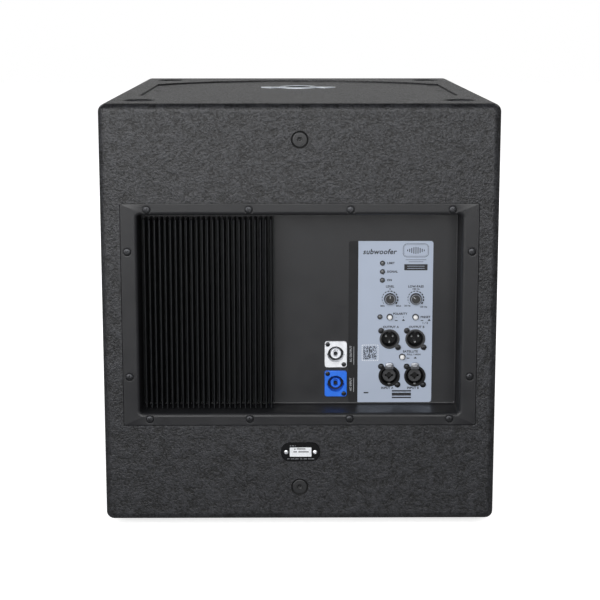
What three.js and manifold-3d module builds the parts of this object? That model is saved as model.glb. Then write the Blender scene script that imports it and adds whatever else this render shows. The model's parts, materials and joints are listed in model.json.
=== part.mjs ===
// Powered 15-inch bass cabinet for public address use, as an assembly of its separate pieces.
// Millimetres. X runs to the right as one faces the amplifier, Y runs from the amplifier side
// to the grille side, and Z is up. The origin lies on the ground under the middle of the box.

import * as THREE from "three";
import { RoundedBoxGeometry } from "three/addons/geometries/RoundedBoxGeometry.js";
import { mergeVertices } from "three/addons/utils/BufferGeometryUtils.js";
import Module from "manifold-3d";

const wasm = await Module();
wasm.setup();

// ------------------------------------------------------------------ driving dimensions

const FIT = 0.3; // play between a piece and the cut that it sits in

// Plywood box
const WIDTH = 450;
const DEPTH = 550;
const HEIGHT = 483; // of the box, without its feet
const PLY = 18;
const EDGE_RADIUS = 9;

// Rubber feet, and the dishes in the top that take the feet of a second box
const FOOT = { x: 184.5, y: 215, height: 8, radius: 17, recessRadius: 5, recessDepth: 4 };
const DISH = { radius: 18.5, depth: 4.5 };

// Inset plate on the top, with straight sides and two bowed ends, and its pole socket
const INSET = { y: -7, halfWidth: 193.5, bowRadius: 234.5, reach: 222, depth: 5, thickness: 3 };
const POLE = { y: 63, bore: 18, tube: 20, depth: 80, collar: 25.5, collarHeight: 1.8 };
const POLE_WING = { thickness: 1.2, tip: 50.5, widest: 36.5, halfWidth: 14, neck: 25, halfNeck: 6 };

// Recessed bar handles
const HANDLE = {
  z: 275, length: 210, height: 118, radius: 20, thickness: 3,
  cupLength: 178, cupHeight: 88, cupRadius: 16, cupDepth: 60, wall: 2.5,
  gripHeight: 28, gripDepth: 22, gripLift: 22,
};

// Front: baffle set back behind the grille, with a triangular port in each corner
const BAFFLE_FACE = 235;
const PORT = { leg: 100, board: 12, length: 180 };
const GRILLE = { face: 272, thickness: 1.5, returnDepth: 13.5, foam: 8 };

// Woofer, on an axis along Y
const WOOFER = {
  z: 249.5, hole: 176.5, flangeRadius: 194.5, flange: 6, basketRadius: 172, shell: 5,
  plate: 130, magnetRadius: 95, magnetDepth: 58, coilRadius: 50, coilWall: 1.5, gapDepth: 46,
  coneRadius: 158, coneNeck: 20, coneWall: 2.5, spiderRadius: 99, gasket: 3,
};
const BASKET_WINDOWS = 8;

// Braces inside the box: a level one between the sides and an upright one behind it
const BRACE = { sideBack: -90, sideFront: -10, sideZ: 340, uprightBack: -170, uprightFront: -100 };

// Amplifier module: a sheet-metal tray let into the back of the box
const AMP = {
  z: 250.5, width: 404, height: 257, radius: 2, sink: 0.5, sheet: 2, gasket: 1,
  recessWidth: 366, recessHeight: 230, recessRadius: 3, recessZ: 251, recessDepth: 39.5, wall: 1.5,
};
const HEAT_SINK = {
  fins: 25, pitch: 6, firstX: -176.7, fin: 1.7, finDepth: 27, base: 8,
  bottom: 138, top: 358.5, margin: 2.7,
};
const COVER = { width: 370, height: 233.6, depth: 53, wall: 1.2 };
const BOARD = { sheet: 1.6, standoff: 6, supplyStandoff: 19 };

// Controls on the tray's back panel, in two columns
const LABEL = { left: 57, right: 154.6, bottom: 138, top: 330, radius: 3, thickness: 0.5 };
const COLUMN_A = 105;
const COLUMN_B = 135;
const KNOB = { z: 262, radius: 7, height: 3.8, lift: 0.7, shaft: 3, pointer: 1.2 };
const KNOBS = [
  { name: "level_knob", x: COLUMN_A, pointerDegrees: 0 },
  { name: "low_pass_knob", x: COLUMN_B, pointerDegrees: 45 },
];
const BUTTON = { radius: 2.8, proud: 5, length: 13, travel: 2.5 };
const BUTTONS = [
  { name: "polarity_button", x: COLUMN_A, z: 240.3 },
  { name: "preset_button", x: COLUMN_B, z: 240.3 },
  { name: "satellite_button", x: (COLUMN_A + COLUMN_B) / 2, z: 192.8 },
];
const LED = { lens: 2.5, bezel: 3.2, length: 9 };
const LEDS = [
  { name: "limit_led", x: 96, z: 304 },
  { name: "signal_led", x: 96, z: 294 },
  { name: "on_led", x: 96, z: 284 },
  { name: "polarity_led", x: 93.6, z: 240.5 },
];
const XLR = { z: 214.1, face: 11.6, body: 10.6, cup: 9.3, cupDepth: 14.5, pin: 1.2, pinCircle: 4.6 };
const COMBO = { z: 169.7, face: 12.55, body: 11.5, mouth: 9.8, island: 8, sunk: 4.8, jack: 3.3 };
const LATCH = { halfWidth: 4.8, low: 8.35, high: 16.3, proud: 4.2, depth: 9 };
const EAR = { radius: 3.6, xlr: [-9.9, 9.9], comboHigh: [-9.7, 11.4], comboLow: [9.7, -10.4] };
const CONNECTOR = { plate: 1.2, depth: 22 };
const POWER = {
  x: 42.3, outputZ: 196.1, inputZ: 160.9, width: 26, height: 31, radius: 2.5, plate: 3,
  body: 11.8, depth: 33, mouth: 9.45, island: 6.15, sunk: 5, keyway: 12, centre: 3,
};

// Back of the box, away from the amplifier
const RIGGING = { edge: 40, head: 8.75, headHeight: 5.5, socket: 3, shank: 5, length: 30, bore: 10 };
const NAMEPLATE = { x: 0.9, z: 90.2, width: 44.3, height: 22.2, radius: 9.5, thickness: 1.2 };

// ------------------------------------------------------------------ worked-out places

const REAR = -DEPTH / 2;
const FRONT = DEPTH / 2;
const SIDE = WIDTH / 2;
const BOTTOM = FOOT.height;
const TOP = BOTTOM + HEIGHT;
const INNER_SIDE = SIDE - PLY;
const INNER_BOTTOM = BOTTOM + PLY;
const INNER_TOP = TOP - PLY;
const BAFFLE_BACK = BAFFLE_FACE - PLY;
const TRAY_FACE = REAR + AMP.sink;
const PANEL_FACE = TRAY_FACE + AMP.recessDepth;
const PANEL_BACK = PANEL_FACE + AMP.sheet;
const LABEL_FACE = PANEL_FACE - LABEL.thickness;
const FLANGE_FACE = BAFFLE_FACE + WOOFER.flange;
const BEYOND = 20; // how far a cutting shape runs past the surface that it opens

const QUARTER = Math.PI / 2;

// ------------------------------------------------------------------ solids

/** A closed three.js geometry as a solid that can be joined and cut. */
function solid(geometry) {
  const plain = geometry.clone();
  plain.deleteAttribute("normal");
  plain.deleteAttribute("uv");
  const welded = mergeVertices(plain, 1e-4);
  const corners = welded.index.array;
  const faces = [];
  for (let i = 0; i < corners.length; i += 3) {
    const [a, b, c] = [corners[i], corners[i + 1], corners[i + 2]];
    if (a !== b && b !== c && c !== a) faces.push([a, b, c]);
  }
  const build = (list) => new wasm.Manifold(new wasm.Mesh({
    numProp: 3,
    vertProperties: Float32Array.from(welded.attributes.position.array),
    triVerts: Uint32Array.from(list.flat()),
  }));
  const made = build(faces);
  return made.volume() > 0 ? made : build(faces.map(([a, b, c]) => [a, c, b]));
}

/** All the solids joined into one. */
function join(first, ...others) {
  return others.reduce((whole, other) => whole.add(other), first);
}

/** The first solid with all the others taken away. */
function cut(first, ...others) {
  return others.reduce((whole, other) => whole.subtract(other), first);
}

/** A solid as a three.js geometry. */
function geometryOf(shape) {
  const { vertProperties, triVerts } = shape.getMesh();
  const geometry = new THREE.BufferGeometry();
  geometry.setAttribute("position", new THREE.BufferAttribute(vertProperties, 3));
  geometry.setIndex(new THREE.BufferAttribute(triVerts, 1));
  geometry.computeVertexNormals();
  return geometry;
}

/** A block between two opposite corners. */
function block([x0, y0, z0], [x1, y1, z1]) {
  const box = new THREE.BoxGeometry(x1 - x0, y1 - y0, z1 - z0);
  return solid(box.translate((x0 + x1) / 2, (y0 + y1) / 2, (z0 + z1) / 2));
}

/** A round bar along Y. */
function barY(radius, y0, y1, x = 0, z = 0, sides = 20) {
  const bar = new THREE.CylinderGeometry(radius, radius, y1 - y0, sides);
  return solid(bar.translate(x, (y0 + y1) / 2, z));
}

/** A round bar along Z. */
function barZ(radius, z0, z1, x = 0, y = 0, sides = 28) {
  const bar = new THREE.CylinderGeometry(radius, radius, z1 - z0, sides);
  return solid(bar.rotateX(QUARTER).translate(x, y, (z0 + z1) / 2));
}

/** A turned piece about the Y axis, from a profile of [radius, y] points. */
function turned(profile, segments = 36) {
  const onAxis = profile[0][0] === 0 && profile[profile.length - 1][0] === 0;
  const closed = onAxis ? profile : [...profile, profile[0]];
  return solid(new THREE.LatheGeometry(closed.map(([r, y]) => new THREE.Vector2(r, y)), segments));
}

/** A straight-sided outline through the points. */
function polygon(points) {
  return new THREE.Shape(points.map(([x, y]) => new THREE.Vector2(x, y)));
}

function roundedRectangle(width, height, radius) {
  const x = width / 2 - radius;
  const y = height / 2 - radius;
  const shape = new THREE.Shape();
  shape.absarc(x, y, radius, 0, QUARTER);
  shape.absarc(-x, y, radius, QUARTER, 2 * QUARTER);
  shape.absarc(-x, -y, radius, 2 * QUARTER, 3 * QUARTER);
  shape.absarc(x, -y, radius, 3 * QUARTER, 4 * QUARTER);
  shape.closePath();
  return shape;
}

function extruded(outline, depth, curveSegments) {
  return new THREE.ExtrudeGeometry(outline, { depth, bevelEnabled: false, curveSegments });
}

/** A plate that stands upright across the box: outline in X and Z, thickness from y0 to y1. */
function uprightPlate(outline, y0, y1, x = 0, z = 0, curveSegments = 2) {
  return solid(extruded(outline, y1 - y0, curveSegments).rotateX(QUARTER).translate(x, y1, z));
}

/** A plate that lies flat: outline in X and Y, thickness from z0 to z1. */
function flatPlate(outline, z0, z1, x = 0, y = 0, curveSegments = 8) {
  return solid(extruded(outline, z1 - z0, curveSegments).translate(x, y, z0));
}

/** A plate parallel to the sides: outline in Y and Z, thickness from x0 to x1. */
function sidePlate(outline, x0, x1, z, curveSegments = 2) {
  const plate = extruded(outline, x1 - x0, curveSegments).rotateX(QUARTER).rotateZ(QUARTER);
  return solid(plate.translate(x0, 0, z));
}

// ------------------------------------------------------------------ the assembly

const assembly = new THREE.Group();

/** Adds one named piece of the given colour to the assembly, and returns its mesh. */
function addPiece(name, shape, color, roughness = 0.6, metalness = 0) {
  const mesh = new THREE.Mesh(
    geometryOf(shape),
    new THREE.MeshStandardMaterial({ color, roughness, metalness }),
  );
  mesh.name = name;
  assembly.add(mesh);
  return mesh;
}

const COATING = 0x434446;
const PLYWOOD = 0x9c7a4e;
const BLACK_METAL = 0x303134;
const BLACK_PLASTIC = 0x18191b;
const RUBBER = 0x141414;
const SILVER = 0xb9bcc0;
const BOARD_GREEN = 0x1f5a35;

// ------------------------------------------------------------------ box

/** The whole box as one rounded block, which the outer panels are cut from. */
function roundedBox() {
  const box = new RoundedBoxGeometry(WIDTH, DEPTH, HEIGHT, 2, EDGE_RADIUS);
  return solid(box.translate(0, 0, BOTTOM + HEIGHT / 2));
}

function sidePanel(box) {
  const slab = block([INNER_SIDE, REAR - 1, BOTTOM - 1], [SIDE + 1, FRONT + 1, TOP + 1]);
  const { length, height, radius, thickness, wall, z } = HANDLE;
  const rebate = roundedRectangle(length + 2 * FIT, height + 2 * FIT, radius + FIT);
  const play = 2 * wall + 1;
  const hole = roundedRectangle(HANDLE.cupLength + play, HANDLE.cupHeight + play, HANDLE.cupRadius + 3);
  return cut(
    box.intersect(slab),
    sidePlate(rebate, SIDE - thickness, SIDE + BEYOND, z),
    sidePlate(hole, INNER_SIDE - BEYOND, SIDE, z),
  );
}

/** Outline of the inset plate: straight sides that end on two bows, drawn in by an offset. */
function insetOutline(offset) {
  const bowCentre = INSET.reach - INSET.bowRadius;
  const radius = INSET.bowRadius - offset;
  const corner = Math.acos((INSET.halfWidth - offset) / radius);
  const shape = new THREE.Shape();
  shape.absarc(0, bowCentre, radius, corner, Math.PI - corner);
  shape.absarc(0, -bowCentre, radius, Math.PI + corner, 2 * Math.PI - corner);
  shape.closePath();
  return shape;
}

function topPanel(box) {
  const slab = block([-INNER_SIDE, REAR - 1, INNER_TOP], [INNER_SIDE, FRONT + 1, TOP + 1]);
  const pocket = flatPlate(insetOutline(0), TOP - INSET.depth, TOP + BEYOND, 0, INSET.y);
  const poleHole = barZ(POLE.tube + 0.5, INNER_TOP - BEYOND, TOP, 0, POLE.y);
  const dishes = footPlaces().map(([x, y]) => barZ(DISH.radius, TOP - DISH.depth, TOP + BEYOND, x, y));
  return cut(box.intersect(slab), pocket, poleHole, ...dishes);
}

function bottomPanel(box) {
  return box.intersect(block([-INNER_SIDE, REAR - 1, BOTTOM - 1], [INNER_SIDE, FRONT + 1, INNER_BOTTOM]));
}

function topPlate() {
  const floor = TOP - INSET.depth;
  const plate = flatPlate(insetOutline(FIT), floor, floor + INSET.thickness, 0, INSET.y);
  return cut(plate, barZ(POLE.tube + 0.5, floor - BEYOND, TOP, 0, POLE.y));
}

/** Flange of a round collar and two pointed wings, with a blind tube below it. */
function poleSocket() {
  const seat = TOP - INSET.depth + INSET.thickness;
  const top = seat + POLE.collarHeight;
  const { thickness, tip, widest, halfWidth, neck, halfNeck } = POLE_WING;
  const wings = [-1, 1].map((side) => flatPlate(
    polygon([
      [0, halfNeck], [0, -halfNeck], [side * neck, -halfNeck], [side * widest, -halfWidth],
      [side * tip, 0], [side * widest, halfWidth], [side * neck, halfNeck],
    ]),
    seat, seat + thickness, 0, POLE.y,
  ));
  const collar = barZ(POLE.collar, seat, top, 0, POLE.y, 40);
  const tube = barZ(POLE.tube, top - POLE.depth - 3, top, 0, POLE.y);
  const bore = barZ(POLE.bore, top - POLE.depth, top + BEYOND, 0, POLE.y);
  return cut(join(collar, ...wings, tube), bore);
}

function footPlaces() {
  const { x, y } = FOOT;
  return [[-x, -y], [x, -y], [x, y], [-x, y]];
}

/** A tapered rubber foot with a recess for its screw, standing on the ground at the origin. */
function rubberFoot() {
  const { radius, height, recessRadius, recessDepth } = FOOT;
  const profile = [
    [0, recessDepth], [recessRadius, recessDepth], [recessRadius, 0], [radius - 1.5, 0],
    [radius, 1.5], [radius + 0.5, height], [0, height],
  ];
  const points = profile.map(([r, z]) => new THREE.Vector2(r, z));
  return solid(new THREE.LatheGeometry(points, 24).rotateX(QUARTER));
}

/** Recessed bar handle for the +X side: a flange, a cup behind it and a grip across the cup. */
function barHandle() {
  const { length, height, radius, thickness, cupLength, cupHeight, cupRadius, cupDepth, wall } = HANDLE;
  const flange = sidePlate(roundedRectangle(length, height, radius), SIDE - thickness, SIDE, HANDLE.z);
  const cupOutline = roundedRectangle(cupLength + 2 * wall, cupHeight + 2 * wall, cupRadius + wall);
  const cup = sidePlate(cupOutline, SIDE - cupDepth, SIDE - 1, HANDLE.z);
  const mouth = roundedRectangle(cupLength, cupHeight, cupRadius);
  const hollow = sidePlate(mouth, SIDE - cupDepth + wall, SIDE + BEYOND, HANDLE.z);
  const gripSection = roundedRectangle(HANDLE.gripDepth, HANDLE.gripHeight, 8);
  const gripX = SIDE - HANDLE.gripDepth / 2;
  const grip = uprightPlate(
    gripSection, -cupLength / 2 - 1, cupLength / 2 + 1, gripX, HANDLE.z + HANDLE.gripLift,
  );
  return join(cut(join(flange, cup), hollow), grip);
}

/** The four corners of the front, as the signs of X and of the height from the middle. */
const CORNERS = [[-1, -1], [1, -1], [1, 1], [-1, 1]];

/** Points of a band across a corner of the front, between two distances along its legs. */
function cornerBand([sideX, sideZ], near, far) {
  const cornerX = sideX * INNER_SIDE;
  const cornerZ = sideZ > 0 ? INNER_TOP : INNER_BOTTOM;
  const along = (distance) => cornerX - sideX * distance;
  const up = (distance) => cornerZ - sideZ * distance;
  const inner = near > 0 ? [[along(near), cornerZ], [cornerX, up(near)]] : [[cornerX, cornerZ]];
  return [...inner, [cornerX, up(far)], [along(far), cornerZ]];
}

function frontBaffle() {
  const board = block([-INNER_SIDE, BAFFLE_BACK, INNER_BOTTOM], [INNER_SIDE, BAFFLE_FACE, INNER_TOP]);
  const hole = barY(WOOFER.hole, BAFFLE_BACK - BEYOND, BAFFLE_FACE + BEYOND, 0, WOOFER.z, 48);
  const ports = CORNERS.map((corner) => uprightPlate(
    polygon(cornerBand(corner, 0, PORT.leg)), BAFFLE_BACK - BEYOND, BAFFLE_FACE + BEYOND,
  ));
  return cut(board, hole, ...ports);
}

/** The diagonal board that closes the port in one corner. */
function portBoard(corner) {
  const far = PORT.leg + PORT.board * Math.SQRT2;
  const outline = polygon(cornerBand(corner, PORT.leg, far));
  return uprightPlate(outline, BAFFLE_BACK - PORT.length, BAFFLE_BACK);
}

function rearBaffle() {
  const inside = REAR + PLY;
  const board = block([-INNER_SIDE, REAR, INNER_BOTTOM], [INNER_SIDE, inside, INNER_TOP]);
  const rebateFloor = TRAY_FACE + AMP.sheet + AMP.gasket;
  const rebate = roundedRectangle(AMP.width + 2, AMP.height + 2, AMP.radius + 1);
  const clearance = 2 * (AMP.wall + 1);
  const opening = roundedRectangle(AMP.recessWidth + clearance, AMP.recessHeight + clearance, 2);
  const plateHole = roundedRectangle(
    NAMEPLATE.width + 2 * FIT, NAMEPLATE.height + 2 * FIT, NAMEPLATE.radius + FIT,
  );
  const boltCuts = riggingHeights().flatMap((z) => [
    barY(RIGGING.bore, REAR - BEYOND, REAR + RIGGING.headHeight + FIT, 0, z),
    barY(RIGGING.shank + FIT, REAR, inside + BEYOND, 0, z),
  ]);
  return cut(
    board,
    uprightPlate(rebate, REAR - BEYOND, rebateFloor, 0, AMP.z),
    uprightPlate(opening, REAR, inside + BEYOND, 0, AMP.recessZ),
    uprightPlate(plateHole, REAR - BEYOND, REAR + NAMEPLATE.thickness + 0.2, NAMEPLATE.x, NAMEPLATE.z, 6),
    ...boltCuts,
  );
}

function riggingHeights() {
  return [TOP - RIGGING.edge, BOTTOM + RIGGING.edge];
}

/** Button-head bolt on its own axis, with its head towards -Y and a six-sided socket. */
function riggingBolt() {
  const { head, headHeight, shank, length, socket } = RIGGING;
  const profile = [
    [0, 0], [head * 0.45, 0], [head * 0.8, headHeight * 0.25], [head, headHeight * 0.8],
    [head, headHeight], [shank, headHeight], [shank, length], [0, length],
  ];
  const key = barY(socket / Math.cos(Math.PI / 6), -1, headHeight * 0.55, 0, 0, 6);
  return cut(turned(profile, 20), key);
}

function frontGrille() {
  const { face, thickness, returnDepth } = GRILLE;
  const low = INNER_BOTTOM + FIT;
  const high = INNER_TOP - FIT;
  const side = INNER_SIDE - FIT;
  const tray = block([-side, face - returnDepth, low], [side, face, high]);
  const inside = block(
    [-side + thickness, face - returnDepth - 1, low + thickness],
    [side - thickness, face - thickness, high - thickness],
  );
  return cut(tray, inside);
}

function grilleFoam() {
  const play = FIT + GRILLE.thickness + FIT;
  const back = GRILLE.face - GRILLE.thickness - FIT;
  return block(
    [-INNER_SIDE + play, back - GRILLE.foam, INNER_BOTTOM + play],
    [INNER_SIDE - play, back, INNER_TOP - play],
  );
}

function nameplate() {
  const outline = roundedRectangle(NAMEPLATE.width, NAMEPLATE.height, NAMEPLATE.radius);
  return uprightPlate(outline, 0, NAMEPLATE.thickness, 0, 0, 5);
}

function addBox() {
  const box = roundedBox();
  addPiece("right_side_panel", sidePanel(box), COATING, 0.8);
  addPiece("left_side_panel", sidePanel(box), COATING, 0.8).rotation.z = Math.PI;
  addPiece("top_panel", topPanel(box), COATING, 0.8);
  addPiece("bottom_panel", bottomPanel(box), COATING, 0.8);
  addPiece("rear_baffle", rearBaffle(), COATING, 0.8);
  addPiece("front_baffle", frontBaffle(), COATING, 0.8);
  CORNERS.forEach((corner, i) => addPiece(`port_board_${i + 1}`, portBoard(corner), PLYWOOD, 0.7));
  const { sideBack, sideFront, sideZ, uprightBack, uprightFront } = BRACE;
  const sideBrace = block([-INNER_SIDE, sideBack, sideZ], [INNER_SIDE, sideFront, sideZ + PLY]);
  addPiece("side_brace", sideBrace, PLYWOOD, 0.7);
  const heightBrace = block([-PLY / 2, uprightBack, INNER_BOTTOM], [PLY / 2, uprightFront, INNER_TOP]);
  addPiece("height_brace", heightBrace, PLYWOOD, 0.7);
  addPiece("top_plate", topPlate(), COATING, 0.75);
  addPiece("pole_socket", poleSocket(), SILVER, 0.35, 0.9);
  footPlaces().forEach(([x, y], i) => {
    addPiece(`rubber_foot_${i + 1}`, rubberFoot(), RUBBER, 0.9).position.set(x, y, 0);
  });
  addPiece("handle_right", barHandle(), BLACK_PLASTIC, 0.55);
  addPiece("handle_left", barHandle(), BLACK_PLASTIC, 0.55).rotation.z = Math.PI;
  addPiece("front_grille", frontGrille(), BLACK_METAL, 0.5, 0.4);
  addPiece("grille_foam", grilleFoam(), 0x202020, 0.95);
  const plate = addPiece("nameplate", nameplate(), BLACK_PLASTIC, 0.4);
  plate.position.set(NAMEPLATE.x, REAR + 0.2, NAMEPLATE.z);
  riggingHeights().forEach((z, i) => {
    const bolt = addPiece(["rigging_bolt_upper", "rigging_bolt_lower"][i], riggingBolt(), 0x1b1b1d, 0.4, 0.7);
    bolt.position.set(0, REAR + FIT, z);
  });
}

// ------------------------------------------------------------------ woofer

/** Y of the cone's front surface at a radius, from its neck out to its edge. */
function coneFront(radius) {
  const { coilRadius, coilWall, coneRadius, coneNeck, plate } = WOOFER;
  const neck = coilRadius + coilWall + FIT;
  const share = (radius - neck) / (coneRadius - neck);
  const start = plate + coneNeck + 3;
  const end = FLANGE_FACE + 0.2;
  return start + (end - start) * (share + 0.12 * share * (1 - share));
}

function wooferBasket() {
  const { plate, flangeRadius, basketRadius, shell, magnetRadius } = WOOFER;
  const ledge = plate + 15;
  const shellTop = BAFFLE_FACE - 7;
  const frame = turned([
    [60, plate], [magnetRadius - 2, plate], [magnetRadius + 12, ledge - 4], [basketRadius + 4, shellTop],
    [basketRadius + 4, BAFFLE_FACE], [flangeRadius, BAFFLE_FACE], [flangeRadius, FLANGE_FACE],
    [basketRadius, FLANGE_FACE], [basketRadius, shellTop + 2], [magnetRadius + 12 - shell, ledge],
    [magnetRadius - 8, ledge], [magnetRadius - 8, plate + 8], [60, plate + 8],
  ]);
  const step = (2 * Math.PI) / BASKET_WINDOWS;
  const halfOpen = step * 0.37;
  const windows = Array.from({ length: BASKET_WINDOWS }, (_, i) => {
    const middle = step * (i + 0.5);
    const at = (radius, angle) => [radius * Math.cos(angle), radius * Math.sin(angle)];
    const outline = polygon([
      at(90, middle - halfOpen), at(230, middle - halfOpen),
      at(230, middle + halfOpen), at(90, middle + halfOpen),
    ]);
    return uprightPlate(outline, ledge + 8, shellTop - 8);
  });
  const terminal = block([-12, plate + 40, -162], [12, plate + 58, -134]);
  return join(cut(frame, ...windows), terminal);
}

/** Magnet, front plate and back plate with the pole, as the closed motor of the driver. */
function wooferMagnet() {
  const { plate, magnetRadius, magnetDepth, coilRadius, coilWall, gapDepth } = WOOFER;
  const back = plate - magnetDepth;
  const gapInner = coilRadius - 2;
  const gapOuter = coilRadius + coilWall + 2;
  const gapFloor = plate - gapDepth;
  return turned([
    [15, back], [magnetRadius, back], [magnetRadius, plate], [gapOuter, plate],
    [gapOuter, gapFloor], [gapInner, gapFloor], [gapInner, plate + 2], [15, plate + 2],
  ]);
}

function voiceCoil() {
  const { plate, coilRadius, coilWall, coneNeck } = WOOFER;
  const outer = coilRadius + coilWall;
  const low = plate - 38;
  const high = plate + coneNeck + 3;
  return turned([[coilRadius, low], [outer, low], [outer, high], [coilRadius, high]]);
}

function wooferCone() {
  const { coilRadius, coilWall, coneRadius, coneWall } = WOOFER;
  const neck = coilRadius + coilWall + FIT;
  const steps = 3;
  const radii = Array.from({ length: steps + 1 }, (_, i) => neck + ((coneRadius - neck) * i) / steps);
  const front = radii.map((r) => [r, coneFront(r)]);
  const back = radii.map((r) => [r, coneFront(r) - coneWall]).reverse();
  return turned([...front, ...back]);
}

/** Domed cap over the middle of the cone. */
function dustCap() {
  const rim = coneFront(62) + 0.5;
  const steps = 3;
  const dome = (radius, rise) => Array.from({ length: steps + 1 }, (_, i) => {
    const angle = (QUARTER * i) / steps;
    return [i === steps ? 0 : radius * Math.cos(angle), rim + rise * Math.sin(angle)];
  });
  return turned([...dome(60.4, 22.4).reverse(), ...dome(62, 24)]);
}

/** Half-round roll that joins the cone's edge to the basket. */
function surround() {
  const { coneRadius, basketRadius } = WOOFER;
  const inner = coneRadius + FIT;
  const middle = (inner + basketRadius + 1.7) / 2;
  const outerRoll = middle - inner;
  const steps = 4;
  const roll = (radius, from, to) => Array.from({ length: steps + 1 }, (_, i) => {
    const angle = from + ((to - from) * i) / steps;
    return [middle + radius * Math.cos(angle), FLANGE_FACE + radius * Math.sin(angle)];
  });
  const lip = 1.5;
  const meet = Math.asin(lip / outerRoll);
  const over = roll(outerRoll, Math.PI, meet);
  const under = roll(outerRoll - lip, 0, Math.PI);
  return turned([...over, [184, FLANGE_FACE + lip], [184, FLANGE_FACE], ...under]);
}

/** Corrugated ring that centres the voice coil. */
function spider() {
  const { coilRadius, coilWall, spiderRadius, plate } = WOOFER;
  const ledge = plate + 15;
  const inner = coilRadius + coilWall + FIT;
  const flat = 88;
  const folds = 4;
  const wave = Array.from({ length: folds + 1 }, (_, i) => {
    return [inner + ((flat - inner) * i) / folds, ledge + (i % 2 ? 2.4 : 0)];
  });
  const top = wave.map(([r, y]) => [r, y + 1.2]);
  return turned([...wave, [spiderRadius, ledge], [spiderRadius, ledge + 1.2], ...top.reverse()]);
}

function wooferGasket() {
  const { flangeRadius, gasket } = WOOFER;
  return turned([
    [185, FLANGE_FACE], [flangeRadius, FLANGE_FACE],
    [flangeRadius, FLANGE_FACE + gasket], [185, FLANGE_FACE + gasket],
  ]);
}

/** Two-core lead from the amplifier's cover to the terminals on the basket. */
function speakerCable() {
  const route = new THREE.CatmullRomCurve3([
    [60, -179.5, 170], [60, -165, 169], [58, -110, 140], [46, -40, 96], [26, 50, 66], [8, 110, 66],
    [0, 140, 86], [0, 157, 100], [0, 163, 101], [0, 169.5, 101],
  ].map(([x, y, z]) => new THREE.Vector3(x, y, z)));
  const section = new THREE.Shape();
  section.absarc(0, 0, 3.5, 0, 2 * Math.PI);
  return solid(new THREE.ExtrudeGeometry(section, { steps: 32, curveSegments: 4, extrudePath: route }));
}

function addWoofer() {
  const pieces = [
    ["woofer_basket", wooferBasket(), 0x2a2b2d, 0.5, 0.5],
    ["woofer_magnet", wooferMagnet(), 0x3a3b3d, 0.5, 0.6],
    ["voice_coil", voiceCoil(), 0xb8793a, 0.4, 0.6],
    ["woofer_cone", wooferCone(), 0x1c1c1e, 0.9],
    ["dust_cap", dustCap(), 0x1c1c1e, 0.85],
    ["woofer_surround", surround(), RUBBER, 0.8],
    ["woofer_spider", spider(), 0xa97c3f, 0.9],
    ["woofer_gasket", wooferGasket(), RUBBER, 0.9],
  ];
  pieces.forEach((piece) => addPiece(...piece).position.set(0, 0, WOOFER.z));
  addPiece("speaker_cable", speakerCable(), 0x222222, 0.6);
}

// ------------------------------------------------------------------ amplifier

/** Opening in the back panel that the fins stand in. */
function finWindow() {
  const { firstX, fins, pitch, bottom, top, margin } = HEAT_SINK;
  const lastX = firstX + (fins - 1) * pitch;
  return block(
    [firstX - margin - 1, PANEL_FACE - 1, bottom - 0.5],
    [lastX + margin, PANEL_BACK + 1, top + 2],
  );
}

/** Holes for the controls and connectors, through the label and the back panel. */
function controlHoles() {
  const [front, back] = [PANEL_FACE - BEYOND, PANEL_BACK + BEYOND];
  const hole = (radius, x, z, sides = 20) => barY(radius, front, back, x, z, sides);
  const latchHole = (x) => block(
    [x - LATCH.halfWidth - FIT, front, COMBO.z],
    [x + LATCH.halfWidth + FIT, back, COMBO.z + LATCH.high + FIT],
  );
  const columns = [COLUMN_A, COLUMN_B];
  return [
    ...KNOBS.map(({ x }) => hole(KNOB.shaft + 0.5, x, KNOB.z, 12)),
    ...BUTTONS.map(({ x, z }) => hole(BUTTON.radius + FIT, x, z, 12)),
    ...LEDS.map(({ x, z }) => hole(LED.lens + FIT, x, z, 10)),
    ...columns.map((x) => hole(XLR.body + 0.4, x, XLR.z)),
    ...columns.map((x) => hole(COMBO.body + 0.4, x, COMBO.z)),
    ...columns.map(latchHole),
  ];
}

function ampTray() {
  const { recessWidth, recessHeight, recessRadius, wall, sheet } = AMP;
  const frame = roundedRectangle(AMP.width, AMP.height, AMP.radius);
  const outside = roundedRectangle(recessWidth + 2 * wall, recessHeight + 2 * wall, recessRadius + wall);
  const inside = roundedRectangle(recessWidth, recessHeight, recessRadius);
  const tray = join(
    uprightPlate(frame, TRAY_FACE, TRAY_FACE + sheet, 0, AMP.z),
    uprightPlate(outside, TRAY_FACE + 1, PANEL_BACK, 0, AMP.recessZ),
  );
  const powerHoles = [POWER.outputZ, POWER.inputZ].map(
    (z) => barY(POWER.body + FIT, PANEL_FACE - 1, PANEL_BACK + 1, POWER.x, z),
  );
  const recess = uprightPlate(inside, TRAY_FACE - BEYOND, PANEL_FACE, 0, AMP.recessZ);
  return cut(tray, recess, finWindow(), ...controlHoles(), ...powerHoles);
}

function ampGasket() {
  const front = TRAY_FACE + AMP.sheet;
  const outline = roundedRectangle(AMP.width - 2, AMP.height - 2, AMP.radius - 1);
  const clearance = 2 * (AMP.wall + 1);
  const opening = roundedRectangle(AMP.recessWidth + clearance, AMP.recessHeight + clearance, 2);
  return cut(
    uprightPlate(outline, front, front + AMP.gasket, 0, AMP.z),
    uprightPlate(opening, front - BEYOND, front + BEYOND, 0, AMP.recessZ),
  );
}

function heatSink() {
  const { fins, pitch, firstX, fin, finDepth, base, bottom, top, margin } = HEAT_SINK;
  const lastX = firstX + (fins - 1) * pitch;
  const edge = AMP.recessWidth / 2 + FIT;
  const plate = block([-edge, PANEL_BACK, bottom - 2], [lastX + 2 * margin, PANEL_BACK + base, top + 4.5]);
  const blades = Array.from({ length: fins }, (_, i) => {
    const x = firstX + i * pitch;
    return block([x - fin / 2, PANEL_BACK - finDepth, bottom], [x + fin / 2, PANEL_BACK + 1, top]);
  });
  return join(plate, ...blades);
}

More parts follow.
